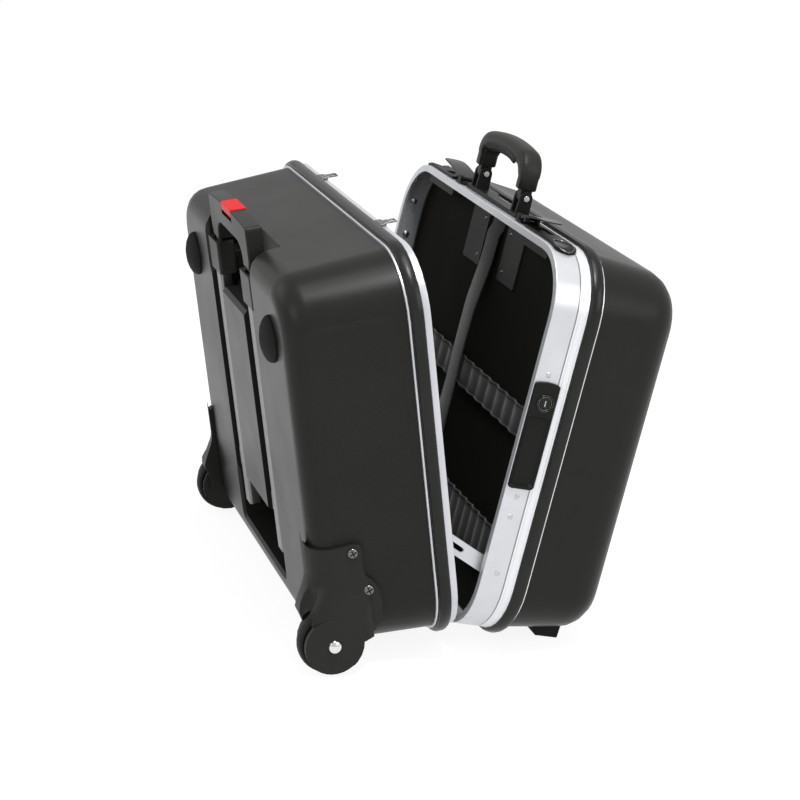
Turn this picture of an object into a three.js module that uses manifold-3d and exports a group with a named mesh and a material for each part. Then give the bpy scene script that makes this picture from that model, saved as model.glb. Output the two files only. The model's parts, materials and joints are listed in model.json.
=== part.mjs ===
// Wheeled tool case of two moulded shells, standing open on its wheels and front feet.
// Millimetres. X runs along the bottom hinge, Z is up. Each half is drawn as it lies in the
// closed case: the seam is the plane y = 0, the rim's underside is z = 0, the half with the
// wheels and the pull-out handle is behind (-Y) and the half with the carrying handle in front.
import * as THREE from 'three';
import { mergeVertices } from 'three/addons/utils/BufferGeometryUtils.js';
import Module from 'manifold-3d';

const wasm = await Module();
wasm.setup();

// Driving dimensions of the rim, the clearances and the way the case stands open
const rim = { width: 485, height: 400, radius: 61, cornerSteps: 8 };
const gap = 0.3;
const overrun = 4;
const openAngle = 20.25;
const seamGap = 0.2;

// Shells: how deep they are from the seam, their draft, back edge and wall
const rearShell = { side: -1, start: 23.3, depth: 139.5, edge: 25, draft: 6.5, step: 1.8, wall: 3.2 };
const frontShell = { side: 1, start: 52.3, depth: 145.7, edge: 35, draft: 6.5, step: 1.8, wall: 3.2 };

// Aluminium frames: distances from the seam along the profile, and depths below the band
const frame = { face: 7.6, chamfer: 0.6, channel: 3, lip: 0.6, under: 6.2 };
const rearBand = { end: 7.2, bead: 20.9, lip: 23, flange: 29 };
const frontBand = {
  rib: 3.5, tray: 3.5, ledge: 31.3, ledgeDepth: 9.2, ledgeEnd: 35.5, line: 29.6, lineWidth: 0.8, lineDepth: 0.7,
  ridge: 34.8, ridgeHeight: 0.8, end: 37.2, bead: 50.6, lip: 52, flange: 56.4,
};
const bead = { seat: 2.7, shoulder: 2, top: 5.5, arcSteps: 5 };

// Recesses in the back of the rear shell for the pull-out handle and the bottom grip
const handleRecess = { halfWidth: 98, floor: 318, depth: 35.5, radius: 18, flare: 4 };
const groove = { inner: 48, outer: 95.5, depth: 20, radius: 3 };
const gripRecess = { halfWidth: 95.5, low: 40, high: 100, depth: 39, radius: 8, flare: 3 };

// Pull-out handle: telescope tubes, collars, grip and button
const tube = { x: 72, y: -130, radius: 3, low: 64, wall: 1.2, slide: 0.4, steps: 2 };
const sleeveTube = { width: 22, depth: 14, high: 330 };
const tubeStep = { width: 3.4, depth: 3.4, rise: 2 };
const tubeFoot = { width: 30, depth: 16.5, height: 20, rise: 4 };
const middleHigh = 334;
const innerHigh = 384;
const collar = { width: 43, depth: 19, low: 330.3, high: 365, radius: 3, stemWidth: 30, stemHeight: 22 };
const pull = {
  halfWidth: 83.5, low: 368, corner: 5, top: 413, crown: 3, shift: 3.8, depth: 17.2, bevel: 1.2,
  heel: 10, legOuter: 79, legInner: 56, archTop: 390, archHalf: 34, socket: 14,
};
const button = { length: 43, proud: 0.9, body: 7.5, travel: 4, slack: 0.4, bevel: 1 };

// Wheels, axles and the moulded corner housings that carry them
const wheel = { radius: 33.5, y: -131.3, z: 29.3, inset: 20, width: 17, hub: 25.5, bore: 4.4, recess: 3, tread: 1.2 };
const axle = { radius: 4, cap: 7, capHeight: 4, domeSteps: 3 };
const well = { radius: 42, inset: 28.2 };
const housing = {
  inset: 36, tipInset: 40, outer: 6, wrap: 4.6, high: 141, shoulderInset: 17, shoulderHigh: 128.5, innerHigh: 95,
  cheek: 29.5, cheekWall: 5.6, innerCheek: 3.4, liner: 4.4, low: 56, flow: 42, levels: 7, fender: 26.5, fenderInset: 19.6,
  fenderEnd: 2.9, arc: 5, startShare: 0.75,
};
// Side outline of the housing as (y, z) from the axle, from its tip over the screws to the wheel
const housingSide = [
  [-40, 112], [-12.9, 112], [-12.2, 101.6], [-11, 99.2], [-8.4, 96.8], [-2.5, 96], [6.5, 96.1], [17.9, 96.8],
  [29.6, 97.8], [36.6, 97.4], [39.2, 93.4], [38.8, 82], [38.9, 70.6], [40.6, 63.3], [47, 57], [52, 48.4],
  [53.8, 36.5], [53.9, 22], [53.6, 5], [51.5, -12], [46, -24], [30, -28], [8, -22], [-15, -12], [-21.6, 0],
  [-20.6, 14.5], [-22, 20.5], [-26, 33], [-40, 33],
];
const scoop = { inset: 11, y: -158.5, z: 86, width: 13, depth: 18.5, height: 31, steps: 10 };

// Bumper pads on the back and feet under the front half
const pad = { inset: 72.5, z: 325, width: 34, height: 27.5, proud: 13.2, shift: 14, steps: 12 };
const foot = { inset: 54.5, width: 38, back: 97, front: 126, drop: 5, heel: 4, top: 30 };

// Bottom hinges
const hinge = { inset: 122.5, length: 62, drop: 3, radius: 2.6, pin: 1.2, hole: 1.6, leaf: 1.5, rear: 7, front: 27 };
const knuckles = 5;

// Slotted stays between the halves
const stay = {
  inset: 14.5, thick: 2, width: 16, length: 160, slot: 5, slotStart: 39, slotEnd: 154, pivotY: 15, pivotZ: 74,
  angle: 156, rivet: 3, rivetHead: 5, headHeight: 1.6, studY: -9.2, studZ: 112.5, studRadius: 2.2, studFoot: 5,
};

// Carrying handle with its base, forks and pins
const carry = {
  legX: 61.5, y: 17.5, pinZ: 421, legWidth: 15, legDepth: 15, gripHeight: 20, gripDepth: 25, gripZ: 463,
  bend: 26, archSlope: 0.23, shoulder: 8, tongue: 9.4, tongueRadius: 6.2, sectionSteps: 14, bendSteps: 6,
  archSteps: 2, squareness: 2.6,
};
const fork = { halfWidth: 8.6, cheek: 3.2, radius: 6.9, foot: 7.6, pin: 2.2, head: 3.1, headHeight: 1.2 };
const handleBase = { halfWidth: 76, front: 8, back: 32, waist: 20, high: 404.8, waistHalf: 40, radius: 5 };
const gripPad = { halfWidth: 50, thick: 1.5, width: 8, height: 7, inset: 9.5, rise: 1, steps: 12 };

// Tilting lever latches, their inner boxes and the keepers on the rear rim
const latch = {
  inner: 80, endInset: 37.5, front: 4, back: 28, high: 402.9, low: 30, radius: 9, pivotX: 92, pivotZ: 405.7, ear: 3.5,
  earRadius: 3.6, pin: 1.4, open: 9.5, leverEnd: 158, leverLow: 403.8, leverTop: 406.6, arch: 3.6, tip: 9,
  leverFront: 4.6, leverBack: 27.4, knuckle: 2.5, neck: 98.5, noseX: 108, noseY: 7.5, nose: 5, noseLow: 401.2,
};
const latchWell = { inner: 118, outer: 152, front: 9, back: 23, floor: 401.2, radius: 3 };
const cup = { inset: 51, y: 16, z: 406, length: 16, width: 10.5, depth: 6.6, steps: 10 };
const latchBox = { inner: 104, outer: 184, front: 5, back: 25, low: 383, radius: 3 };
const keeper = { base: 20, tab: 11, low: 401, thick: 1.6, reach: 12, hole: 6.6 };

// Lock and finger grip let into the front band on the +X side
const lockPlate = {
  front: 1, back: 28, low: 166, high: 276, thick: 2.8, radius: 4, arch: 4, tubInset: 3.6, tubLow: 173,
  tubHigh: 237, tubDepth: 9.4, scoopRadius: 11.6, scoopOut: 5, scoopInset: 3, lockY: 16, lockZ: 255,
  boss: 8.2, bossDepth: 7, ring: 8.8, ringHeight: 1.4, cutMargin: 0.4,
};
const barrel = { radius: 5.4, depth: 8, proud: 0.8, slotLength: 6.4, slotWidth: 1.4, slotDepth: 3 };

// Tool board in the front half with its brackets, strap and loops
const board = { front: 26.2, back: 31, inset: 3.9 };
const bracket = { inner: 29, outer: 79, low: 326, high: 387, front: 24.3, thick: 1.6, hole: 2.6, inset: 10 };
const strap = {
  halfWidth: 17, front: 20.6, thick: 1.4, low: 14, high: 388, tab: 9, bow: 6, bowLow: 26, bowHigh: 350, fade: 70,
  steps: 16,
};
const loops = { inset: 34.5, low: 201, high: 232, pitch: 26, height: 3.5, thick: 1.1, flat: 3.2 };
const pocket = { inset: 38.5, low: 58, high: 105, pitch: 20, height: 3.5, thick: 1.1, flat: 1.6 };

// Places that follow the side of the rim
const sideX = rim.width / 2;
const wheelInner = sideX - wheel.inset;
const wellInner = sideX - well.inset;
const housingOuter = sideX + housing.outer;
const stayX = sideX - stay.inset;
const hingeX = sideX - hinge.inset;
const latchOuter = sideX - latch.endInset;

// Finishes
const finishes = {
  shell: { color: 0x2b2a28, roughness: 0.5, metalness: 0 },
  aluminium: { color: 0xd4d5d9, roughness: 0.3, metalness: 0.9 },
  gloss: { color: 0x1c1c1c, roughness: 0.25, metalness: 0 },
  moulding: { color: 0x262624, roughness: 0.55, metalness: 0 },
  rubber: { color: 0x1b1b1a, roughness: 0.8, metalness: 0 },
  chrome: { color: 0xe4e4e4, roughness: 0.12, metalness: 1 },
  steel: { color: 0x8d8f92, roughness: 0.35, metalness: 0.9 },
  red: { color: 0xc81426, roughness: 0.4, metalness: 0 },
  felt: { color: 0x161614, roughness: 0.95, metalness: 0 },
  grey: { color: 0x4c4c4a, roughness: 0.6, metalness: 0 },
  webbing: { color: 0x2a2a28, roughness: 0.9, metalness: 0 },
};

// Solids: closed triangle meshes joined and cut by manifold
function solidOf(geometry) {
  const bare = geometry.index ? geometry.clone() : geometry;
  bare.deleteAttribute('normal');
  bare.deleteAttribute('uv');
  const merged = mergeVertices(bare, 1e-5);
  const points = merged.attributes.position.array;
  const faces = Uint32Array.from(merged.index.array);
  if (signedVolume(points, faces) < 0) {
    for (let i = 0; i < faces.length; i += 3) {
      [faces[i], faces[i + 1]] = [faces[i + 1], faces[i]];
    }
  }
  const mesh = new wasm.Mesh({ numProp: 3, vertProperties: Float32Array.from(points), triVerts: faces });
  return new wasm.Manifold(mesh);
}

function signedVolume(points, faces) {
  const [a, b, c] = [new THREE.Vector3(), new THREE.Vector3(), new THREE.Vector3()];
  let volume = 0;
  for (let i = 0; i < faces.length; i += 3) {
    a.fromArray(points, faces[i] * 3);
    b.fromArray(points, faces[i + 1] * 3);
    c.fromArray(points, faces[i + 2] * 3);
    volume += a.dot(b.cross(c)) / 6;
  }
  return volume;
}

function geometryOf(solid) {
  const mesh = solid.getMesh();
  const geometry = new THREE.BufferGeometry();
  geometry.setAttribute('position', new THREE.BufferAttribute(mesh.vertProperties, 3));
  geometry.setIndex(new THREE.BufferAttribute(mesh.triVerts, 1));
  return geometry;
}

function moved(solid, matrix) {
  return solidOf(geometryOf(solid).applyMatrix4(matrix));
}

function mirrored(solid) {
  return moved(solid, new THREE.Matrix4().makeScale(-1, 1, 1));
}

function joined(...solids) {
  return solids.reduce((whole, piece) => whole.add(piece));
}

// Extrusions of flat outlines along each axis; outlines are in (y, z), (x, z) or (x, y)
function extruded(shape, low, high, u, v, options = {}) {
  const settings = { depth: high - low, bevelEnabled: false, curveSegments: 10, ...options };
  const geometry = new THREE.ExtrudeGeometry(shape, settings);
  const w = new THREE.Vector3().crossVectors(u, v);
  geometry.applyMatrix4(new THREE.Matrix4().makeBasis(u, v, w));
  const shift = w.clone().multiplyScalar(Math.sign(w.x + w.y + w.z) > 0 ? low : -high);
  geometry.translate(shift.x, shift.y, shift.z);
  return solidOf(geometry);
}

const axisX = new THREE.Vector3(1, 0, 0);
const axisY = new THREE.Vector3(0, 1, 0);
const axisZ = new THREE.Vector3(0, 0, 1);
const alongX = (shape, low, high, options) => extruded(shape, low, high, axisY, axisZ, options);
const alongY = (shape, low, high, options) => extruded(shape, low, high, axisX, axisZ, options);
const alongZ = (shape, low, high, options) => extruded(shape, low, high, axisX, axisY, options);

function roundedShape(left, right, low, high, radius) {
  const shape = new THREE.Shape();
  shape.moveTo(left + radius, low);
  shape.lineTo(right - radius, low);
  shape.absarc(right - radius, low + radius, radius, -Math.PI / 2, 0, false);
  shape.lineTo(right, high - radius);
  shape.absarc(right - radius, high - radius, radius, 0, Math.PI / 2, false);
  shape.lineTo(left + radius, high);
  shape.absarc(left + radius, high - radius, radius, Math.PI / 2, Math.PI, false);
  shape.lineTo(left, low + radius);
  shape.absarc(left + radius, low + radius, radius, Math.PI, Math.PI * 1.5, false);
  return shape;
}

function polygon(points) {
  return new THREE.Shape(points.map(([u, v]) => new THREE.Vector2(u, v)));
}

function block(x0, x1, y0, y1, z0, z1) {
  const geometry = new THREE.BoxGeometry(x1 - x0, y1 - y0, z1 - z0);
  geometry.translate((x0 + x1) / 2, (y0 + y1) / 2, (z0 + z1) / 2);
  return solidOf(geometry);
}

function rod(radius, low, high, axis, u, v, sides = 24) {
  const geometry = new THREE.CylinderGeometry(radius, radius, high - low, sides);
  const middle = (low + high) / 2;
  if (axis === 'x') geometry.rotateZ(Math.PI / 2).translate(middle, u, v);
  if (axis === 'y') geometry.translate(u, middle, v);
  return solidOf(geometry);
}

function ellipsoid(x, y, z, rx, ry, rz, steps) {
  const geometry = new THREE.SphereGeometry(1, steps * 2, steps);
  geometry.scale(rx, ry, rz);
  geometry.translate(x, y, z);
  return solidOf(geometry);
}

// A turned piece with its axis along X, its profile given as (radius, x) pairs
function turned(profile, y, z, sides = 32) {
  const geometry = new THREE.LatheGeometry(profile.map(([r, x]) => new THREE.Vector2(r, x)), sides);
  geometry.rotateZ(-Math.PI / 2);
  geometry.translate(0, y, z);
  return solidOf(geometry);
}

// The rim's rounded outline, grown outwards by an offset, as (x, z) pairs
function outlineAt(offset) {
  const r = rim.radius + offset;
  const x = rim.width / 2 - rim.radius;
  const high = rim.height - rim.radius;
  const corners = [[x, high], [-x, high], [-x, rim.radius], [x, rim.radius]];
  return corners.flatMap(([cx, cz], quarter) => Array.from({ length: rim.cornerSteps + 1 }, (_, k) => {
    const angle = (quarter + k / rim.cornerSteps) * Math.PI / 2;
    return [cx + r * Math.cos(angle), cz + r * Math.sin(angle)];
  }));
}

// Skins a list of rings of equal length; open lists get flat ends
function skinned(rings, closed) {
  const count = rings[0].length;
  const faces = [];
  const spans = closed ? rings.length : rings.length - 1;
  for (let i = 0; i < spans; i += 1) {
    const here = i * count;
    const next = ((i + 1) % rings.length) * count;
    for (let k = 0; k < count; k += 1) {
      const m = (k + 1) % count;
      faces.push(here + k, here + m, next + m, here + k, next + m, next + k);
    }
  }
  if (!closed) {
    const last = (rings.length - 1) * count;
    for (let k = 1; k < count - 1; k += 1) {
      faces.push(0, k + 1, k, last, last + k, last + k + 1);
    }
  }
  const geometry = new THREE.BufferGeometry();
  geometry.setAttribute('position', new THREE.Float32BufferAttribute(rings.flat(2), 3));
  geometry.setIndex(faces);
  return solidOf(geometry);
}

function rimRing(y, offset) {
  return outlineAt(offset).map(([x, z]) => [x, y, z]);
}

// A profile of (distance from seam, offset) pairs carried all round the rim
function aroundRim(profile, side) {
  return skinned(profile.map(([distance, offset]) => rimRing(side * distance, offset)), true);
}

function rimBlock(grow, near, far) {
  return skinned([rimRing(near, grow), rimRing(far, grow)], false);
}

// Shells: a drafted tub with a rounded back edge, grown or shrunk by one offset
function shellTub(shell, grow, start) {
  const edge = shell.edge + grow;
  const straight = shell.depth - shell.edge;
  const edgeSteps = 5;
  const rings = [rimRing(shell.side * start, grow - shell.step)];
  for (let k = 0; k <= edgeSteps; k += 1) {
    const angle = (k / edgeSteps) * Math.PI / 2;
    const distance = straight + edge * Math.sin(angle);
    const offset = grow - shell.step - shell.draft - edge * (1 - Math.cos(angle));
    rings.push(rimRing(shell.side * distance, offset));
  }
  return skinned(rings, false);
}

function rearPockets(grow) {
  const back = -rearShell.depth - overrun;
  const half = handleRecess.halfWidth + grow;
  const top = roundedShape(-half, half, handleRecess.floor - grow, rim.height + rim.radius, handleRecess.radius);
  const slots = [1, -1].map((side) => {
    const edges = [side * (groove.inner - grow), side * (groove.outer + grow)].sort((a, b) => a - b);
    const shape = roundedShape(edges[0], edges[1], gripRecess.low + gripRecess.radius - grow,
      handleRecess.floor + handleRecess.radius, groove.radius);
    return alongY(shape, back, -rearShell.depth + groove.depth + grow);
  });
  const grip = roundedShape(-gripRecess.halfWidth - grow, gripRecess.halfWidth + grow,
    gripRecess.low - grow, gripRecess.high + grow, gripRecess.radius);
  const wells = [1, -1].map((side) => {
    const ends = [side * (wellInner - grow), side * (sideX + overrun)].sort((a, b) => a - b);
    return rod(well.radius + grow, ends[0], ends[1], 'x', wheel.y, wheel.z, 32);
  });
  const lip = (flare, curveSegments) => (
    { bevelEnabled: true, bevelSize: flare, bevelThickness: flare, bevelSegments: 1, curveSegments });
  return joined(
    alongY(top, back, -rearShell.depth + handleRecess.depth + grow, { curveSegments: 6 }),
    alongY(top, back, -rearShell.depth + grow, lip(handleRecess.flare, 6)),
    alongY(grip, back, -rearShell.depth + gripRecess.depth + grow, { curveSegments: 4 }),
    alongY(grip, back, -rearShell.depth + grow, lip(gripRecess.flare, 4)),
    ...slots, ...wells,
  );
}

function makeRearShell() {
  const body = shellTub(rearShell, 0, rearShell.start).subtract(rearPockets(0));
  const inside = shellTub(rearShell, -rearShell.wall, rearShell.start - overrun);
  return body.subtract(inside.subtract(rearPockets(rearShell.wall)));
}

function makeFrontShell() {
  const body = shellTub(frontShell, 0, frontShell.start);
  return body.subtract(shellTub(frontShell, -frontShell.wall, frontShell.start - overrun));
}

function makeRearFrame() {
  return aroundRim([
    [seamGap, -frame.face], [seamGap, -frame.chamfer], [seamGap + frame.chamfer, 0], [rearBand.end, 0],
    [rearBand.end, -frame.channel], [rearBand.bead, -frame.channel], [rearBand.bead, frame.lip],
    [rearBand.lip, frame.lip], [rearBand.lip, -frame.under], [rearBand.flange, -frame.under],
    [rearBand.flange, -frame.face],
  ], rearShell.side);
}

function makeFrontFrame() {
  const ring = aroundRim([
    [seamGap, -frame.face], [seamGap, -frame.chamfer], [seamGap + frame.chamfer, 0],
    [frontBand.line - frontBand.lineWidth, 0], [frontBand.line - frontBand.lineWidth / 2, -frontBand.lineDepth],
    [frontBand.line, 0], [frontBand.ridge, 0],
    [frontBand.ridge, frontBand.ridgeHeight], [frontBand.end, frontBand.ridgeHeight],
    [frontBand.end, -frame.channel], [frontBand.bead, -frame.channel], [frontBand.bead, frame.lip],
    [frontBand.lip, frame.lip], [frontBand.lip, -frame.under], [frontBand.flange, -frame.under],
    [frontBand.flange, -frame.face], [frontBand.ledgeEnd, -frame.face],
    [frontBand.ledgeEnd, -frontBand.ledgeDepth], [frontBand.ledge, -frontBand.ledgeDepth],
    [frontBand.ledge, -frontBand.tray], [frontBand.rib, -frontBand.tray], [frontBand.rib, -frame.face],
  ], frontShell.side);
  return ring.subtract(lockOpening());
}

function makeBead(band, side) {
  const near = band.end + gap;
  const far = band.bead - gap;
  const middle = (near + far) / 2;
  const arc = Array.from({ length: bead.arcSteps + 1 }, (_, k) => {
    const angle = Math.PI * (1 - k / bead.arcSteps);
    const rise = (bead.top - bead.shoulder) * Math.sin(angle);
    return [middle + (far - near) / 2 * Math.cos(angle), bead.shoulder + rise];
  });
  return aroundRim([[near, -bead.seat], ...arc, [far, -bead.seat]], side);
}

// Pull-out handle
function tubeSection(width, depth) {
  return roundedShape(tube.x - width / 2, tube.x + width / 2, tube.y - depth / 2, tube.y + depth / 2, tube.radius);
}

function makeTube(step, low, high) {
  const width = sleeveTube.width - step * tubeStep.width;
  const depth = sleeveTube.depth - step * tubeStep.depth;
  const options = { curveSegments: tube.steps };
  const bore = roundedShape(tube.x - width / 2 + tube.wall, tube.x + width / 2 - tube.wall,
    tube.y - depth / 2 + tube.wall, tube.y + depth / 2 - tube.wall, tube.radius - tube.wall);
  const outer = alongZ(tubeSection(width, depth), low, high, options);
  return outer.subtract(alongZ(bore, low - overrun, high + overrun, options));
}

function makeSleeve() {
  const floor = -rearShell.depth + groove.depth - gap;
  const low = gripRecess.high + tubeFoot.rise;
  const shoe = block(tube.x - tubeFoot.width / 2, tube.x + tubeFoot.width / 2,
    floor - tubeFoot.depth, floor, low, low + tubeFoot.height);
  const bore = alongZ(tubeSection(sleeveTube.width - tube.wall, sleeveTube.depth - tube.wall),
    low - overrun, low + tubeFoot.height + overrun);
  return joined(shoe.subtract(bore), makeTube(0, tube.low, sleeveTube.high));
}

function makeCollar() {
  const back = -rearShell.depth + groove.depth - gap - collar.depth;
  const outer = roundedShape(tube.x - collar.width / 2, tube.x + collar.width / 2, back,
    back + collar.depth, collar.radius);
  const wall = -rearShell.depth + handleRecess.depth - gap;
  const stem = block(tube.x - collar.stemWidth / 2, tube.x + collar.stemWidth / 2,
    back + collar.depth - collar.radius, wall, collar.low, collar.low + collar.stemHeight);
  const slack = tube.slide * 2 - tubeStep.width;
  const bore = tubeSection(sleeveTube.width + slack, sleeveTube.depth + slack);
  const body = joined(alongZ(outer, collar.low, collar.high, { curveSegments: 3 }), stem);
  return body.subtract(alongZ(bore, collar.low - overrun, collar.high + overrun, { curveSegments: tube.steps }));
}

function pullOutline() {
  const shape = new THREE.Shape();
  const shoulder = pull.top - pull.corner;
  shape.moveTo(pull.legOuter, pull.low);
  shape.lineTo(pull.halfWidth, pull.low + pull.heel);
  shape.lineTo(pull.halfWidth, shoulder);
  shape.quadraticCurveTo(pull.halfWidth, pull.top, pull.halfWidth - pull.corner, pull.top);
  shape.quadraticCurveTo(0, pull.top + pull.crown * 2, pull.corner - pull.halfWidth, pull.top);
  shape.quadraticCurveTo(-pull.halfWidth, pull.top, -pull.halfWidth, shoulder);
  shape.lineTo(-pull.halfWidth, pull.low + pull.heel);
  shape.lineTo(-pull.legOuter, pull.low);
  shape.lineTo(-pull.legInner, pull.low);
  shape.quadraticCurveTo(-pull.legInner, pull.archTop, -pull.archHalf, pull.archTop);
  shape.lineTo(pull.archHalf, pull.archTop);
  shape.quadraticCurveTo(pull.legInner, pull.archTop, pull.legInner, pull.low);
  return shape;
}

function makePull() {
  const centre = tube.y + pull.shift;
  const reach = pull.depth / 2 - pull.bevel;
  const bevel = { bevelEnabled: true, bevelSize: pull.bevel, bevelThickness: pull.bevel, bevelOffset: -pull.bevel,
    bevelSegments: 1, curveSegments: 7 };
  const body = alongY(pullOutline(), centre - reach, centre + reach, bevel);
  const half = button.length / 2 + button.slack;
  const notchLow = buttonTop() - button.proud - button.body - button.travel - button.slack;
  const notch = block(-half, half, centre - pull.depth, centre + pull.depth, notchLow, pull.top + pull.socket);
  const width = sleeveTube.width - tubeStep.width * 2 + gap * 2;
  const depth = sleeveTube.depth - tubeStep.depth * 2 + gap * 2;
  const socket = alongZ(tubeSection(width, depth), pull.low - overrun, innerHigh + gap, { curveSegments: tube.steps });
  return body.subtract(notch).subtract(socket).subtract(mirrored(socket));
}

function buttonTop() {
  return pull.top + pull.crown + button.proud;
}

function makeButton() {
  const half = button.length / 2;
  const top = buttonTop();
  const shape = roundedShape(-half, half, top - button.proud - button.body, top, button.bevel);
  const centre = tube.y + pull.shift;
  return alongY(shape, centre - pull.depth / 2, centre + pull.depth / 2, { curveSegments: 3 });
}

// Wheels and their housings, drawn for the +X side
function makeTyre() {
  const far = wheelInner + wheel.width;
  const shoulder = wheel.recess / 2;
  const side = wheel.radius - wheel.recess;
  const tread = wheel.radius - wheel.tread / 2;
  return turned([
    [wheel.hub + gap, wheelInner + shoulder], [side, wheelInner], [tread - wheel.tread / 2, wheelInner + shoulder],
    [wheel.radius, wheelInner + wheel.recess * 2], [wheel.radius, far - wheel.recess * 2],
    [tread - wheel.tread / 2, far - shoulder], [side, far], [wheel.hub + gap, far - shoulder],
    [wheel.hub + gap, wheelInner + shoulder],
  ], wheel.y, wheel.z, 36);
}

function makeHub() {
  const near = wheelInner + gap;
  const far = wheelInner + wheel.width - gap;
  const boss = wheel.bore * 2;
  const rimIn = wheel.hub - wheel.recess;
  return turned([
    [wheel.bore, near], [boss, near], [boss, near + wheel.recess], [rimIn, near + wheel.recess],
    [wheel.hub, near + wheel.recess / 2], [wheel.hub, far - wheel.recess / 2], [rimIn, far - wheel.recess],
    [boss, far - wheel.recess], [boss, far], [wheel.bore, far], [wheel.bore, near],
  ], wheel.y, wheel.z, 24);
}

function makeAxle() {
  const near = wellInner + gap;
  const seat = housingOuter + gap;
  const dome = Array.from({ length: axle.domeSteps + 1 }, (_, k) => {
    const angle = (k / axle.domeSteps) * Math.PI / 2;
    return [axle.cap * Math.cos(angle), seat + axle.capHeight * Math.sin(angle)];
  });
  return turned([[0, near], [axle.radius, near], [axle.radius, seat], ...dome], wheel.y, wheel.z, 20);
}

// The shell's own side in plan, from the front of the housing round the corner to its back
function wrapPlan() {
  const straight = rearShell.depth - rearShell.edge;
  const edge = rearShell.edge + housing.wrap;
  const side = sideX + housing.wrap - rearShell.step;
  const front = [wheel.y + housing.flow, wheel.y + housing.flow / 2].map((y) => (
    [side - rearShell.draft * (-y - rearShell.start) / (straight - rearShell.start), y]));
  const corner = Array.from({ length: housing.arc + 1 }, (_, k) => {
    const angle = (k / housing.arc) * Math.PI / 2;
    return [side - rearShell.draft - edge * (1 - Math.cos(angle)), -straight - edge * Math.sin(angle)];
  });
  return [...front, ...corner];
}

// The fuller plan round the wheel, with as many points as the shell's side
function fenderPlan() {
  const back = wheel.y - housing.fender;
  const turn = wheel.y - housing.fenderEnd;
  const start = [housingOuter, wheel.y + housing.flow * housing.startShare];
  const corner = Array.from({ length: housing.arc + 1 }, (_, k) => {
    const share = k / housing.arc;
    const pull1 = 2 * share * (1 - share);
    const x = (1 - share) ** 2 * housingOuter + pull1 * housingOuter + share ** 2 * (sideX - housing.fenderInset);
    const y = (1 - share) ** 2 * turn + pull1 * back + share ** 2 * back;
    return [x, y];
  });
  return [[housingOuter - housing.outer, wheel.y + housing.flow], start, ...corner];
}

// Skinned rings from the full plan beside the wheel up to the thin plate on the shell
function housingBulk() {
  const thin = wrapPlan();
  const full = fenderPlan();
  const inner = sideX - housing.inset;
  const ring = (share, z) => {
    const outer = thin.map(([x, y], k) => [x + (full[k][0] - x) * share, y + (full[k][1] - y) * share, z]);
    return [...outer, [inner, outer[outer.length - 1][1], z], [inner, outer[0][1], z]];
  };
  const rings = [ring(1, -wheel.radius), ring(1, housing.low)];
  for (let k = 1; k <= housing.levels; k += 1) {
    const u = 1 - k / housing.levels;
    rings.push(ring(u * u * (3 - 2 * u), housing.low + housing.flow * k / housing.levels));
  }
  return skinned(rings, false);
}

function makeHousing() {
  const inner = sideX - housing.inset;
  const far = housingOuter + overrun;
  const side = alongX(polygon(housingSide.map(([y, z]) => [wheel.y + y, wheel.z + z])), inner, far);
  const front = alongY(polygon([
    [inner, -wheel.radius], [far, -wheel.radius], [far, housing.high + overrun],
    [sideX - housing.shoulderInset, housing.high], [sideX - housing.shoulderInset - wheel.recess, housing.shoulderHigh],
    [sideX - housing.tipInset, housing.high], [inner, housing.innerHigh],
  ]), -rearShell.depth - housing.fender * 2, 0);
  const wrap = shellTub(rearShell, housing.wrap, rearShell.start);
  const insideWell = rod(well.radius - gap, wellInner + gap, far, 'x', wheel.y, wheel.z, 36);
  const shellRoom = shellTub(rearShell, gap, rearShell.start).subtract(insideWell);
  const slotLow = wellInner + gap + housing.innerCheek;
  const slotHigh = housingOuter - housing.cheekWall;
  const wheelRoom = rod(well.radius - housing.liner, slotLow, slotHigh, 'x', wheel.y, wheel.z, 36);
  const cheeks = joined(
    rod(housing.cheek, slotHigh, housingOuter, 'x', wheel.y, wheel.z, 32),
    rod(housing.cheek, wellInner + gap, slotLow, 'x', wheel.y, wheel.z, 20),
  );
  const hole = rod(axle.radius + gap, inner - overrun, far, 'x', wheel.y, wheel.z);
  const dent = ellipsoid(sideX - scoop.inset, scoop.y, scoop.z, scoop.width, scoop.depth, scoop.height, scoop.steps);
  return joined(wrap, housingBulk()).intersect(side).intersect(front).subtract(shellRoom)
    .subtract(wheelRoom).add(cheeks).subtract(hole).subtract(dent);
}

function makePad() {
  const y = -rearShell.depth - gap;
  const x = sideX - pad.inset;
  const lobes = [-1, 1].map((side) => (
    ellipsoid(x + side * pad.shift, y, pad.z, pad.width, pad.proud, pad.height, pad.steps)));
  const outside = block(x - rim.width, x + rim.width, y - rim.width, y, 0, rim.height);
  return lobes[0].intersect(lobes[1]).intersect(outside);
}

function makeFoot() {
  const outline = polygon([
    [foot.back, foot.top], [foot.back, foot.heel - foot.drop], [foot.back + foot.heel, -foot.drop],
    [foot.front, -foot.drop], [foot.front + foot.heel / 2, foot.top],
  ]);
  const far = sideX - foot.inset;
  return alongX(outline, far - foot.width, far).subtract(shellTub(frontShell, gap, frontShell.start));
}

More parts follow.
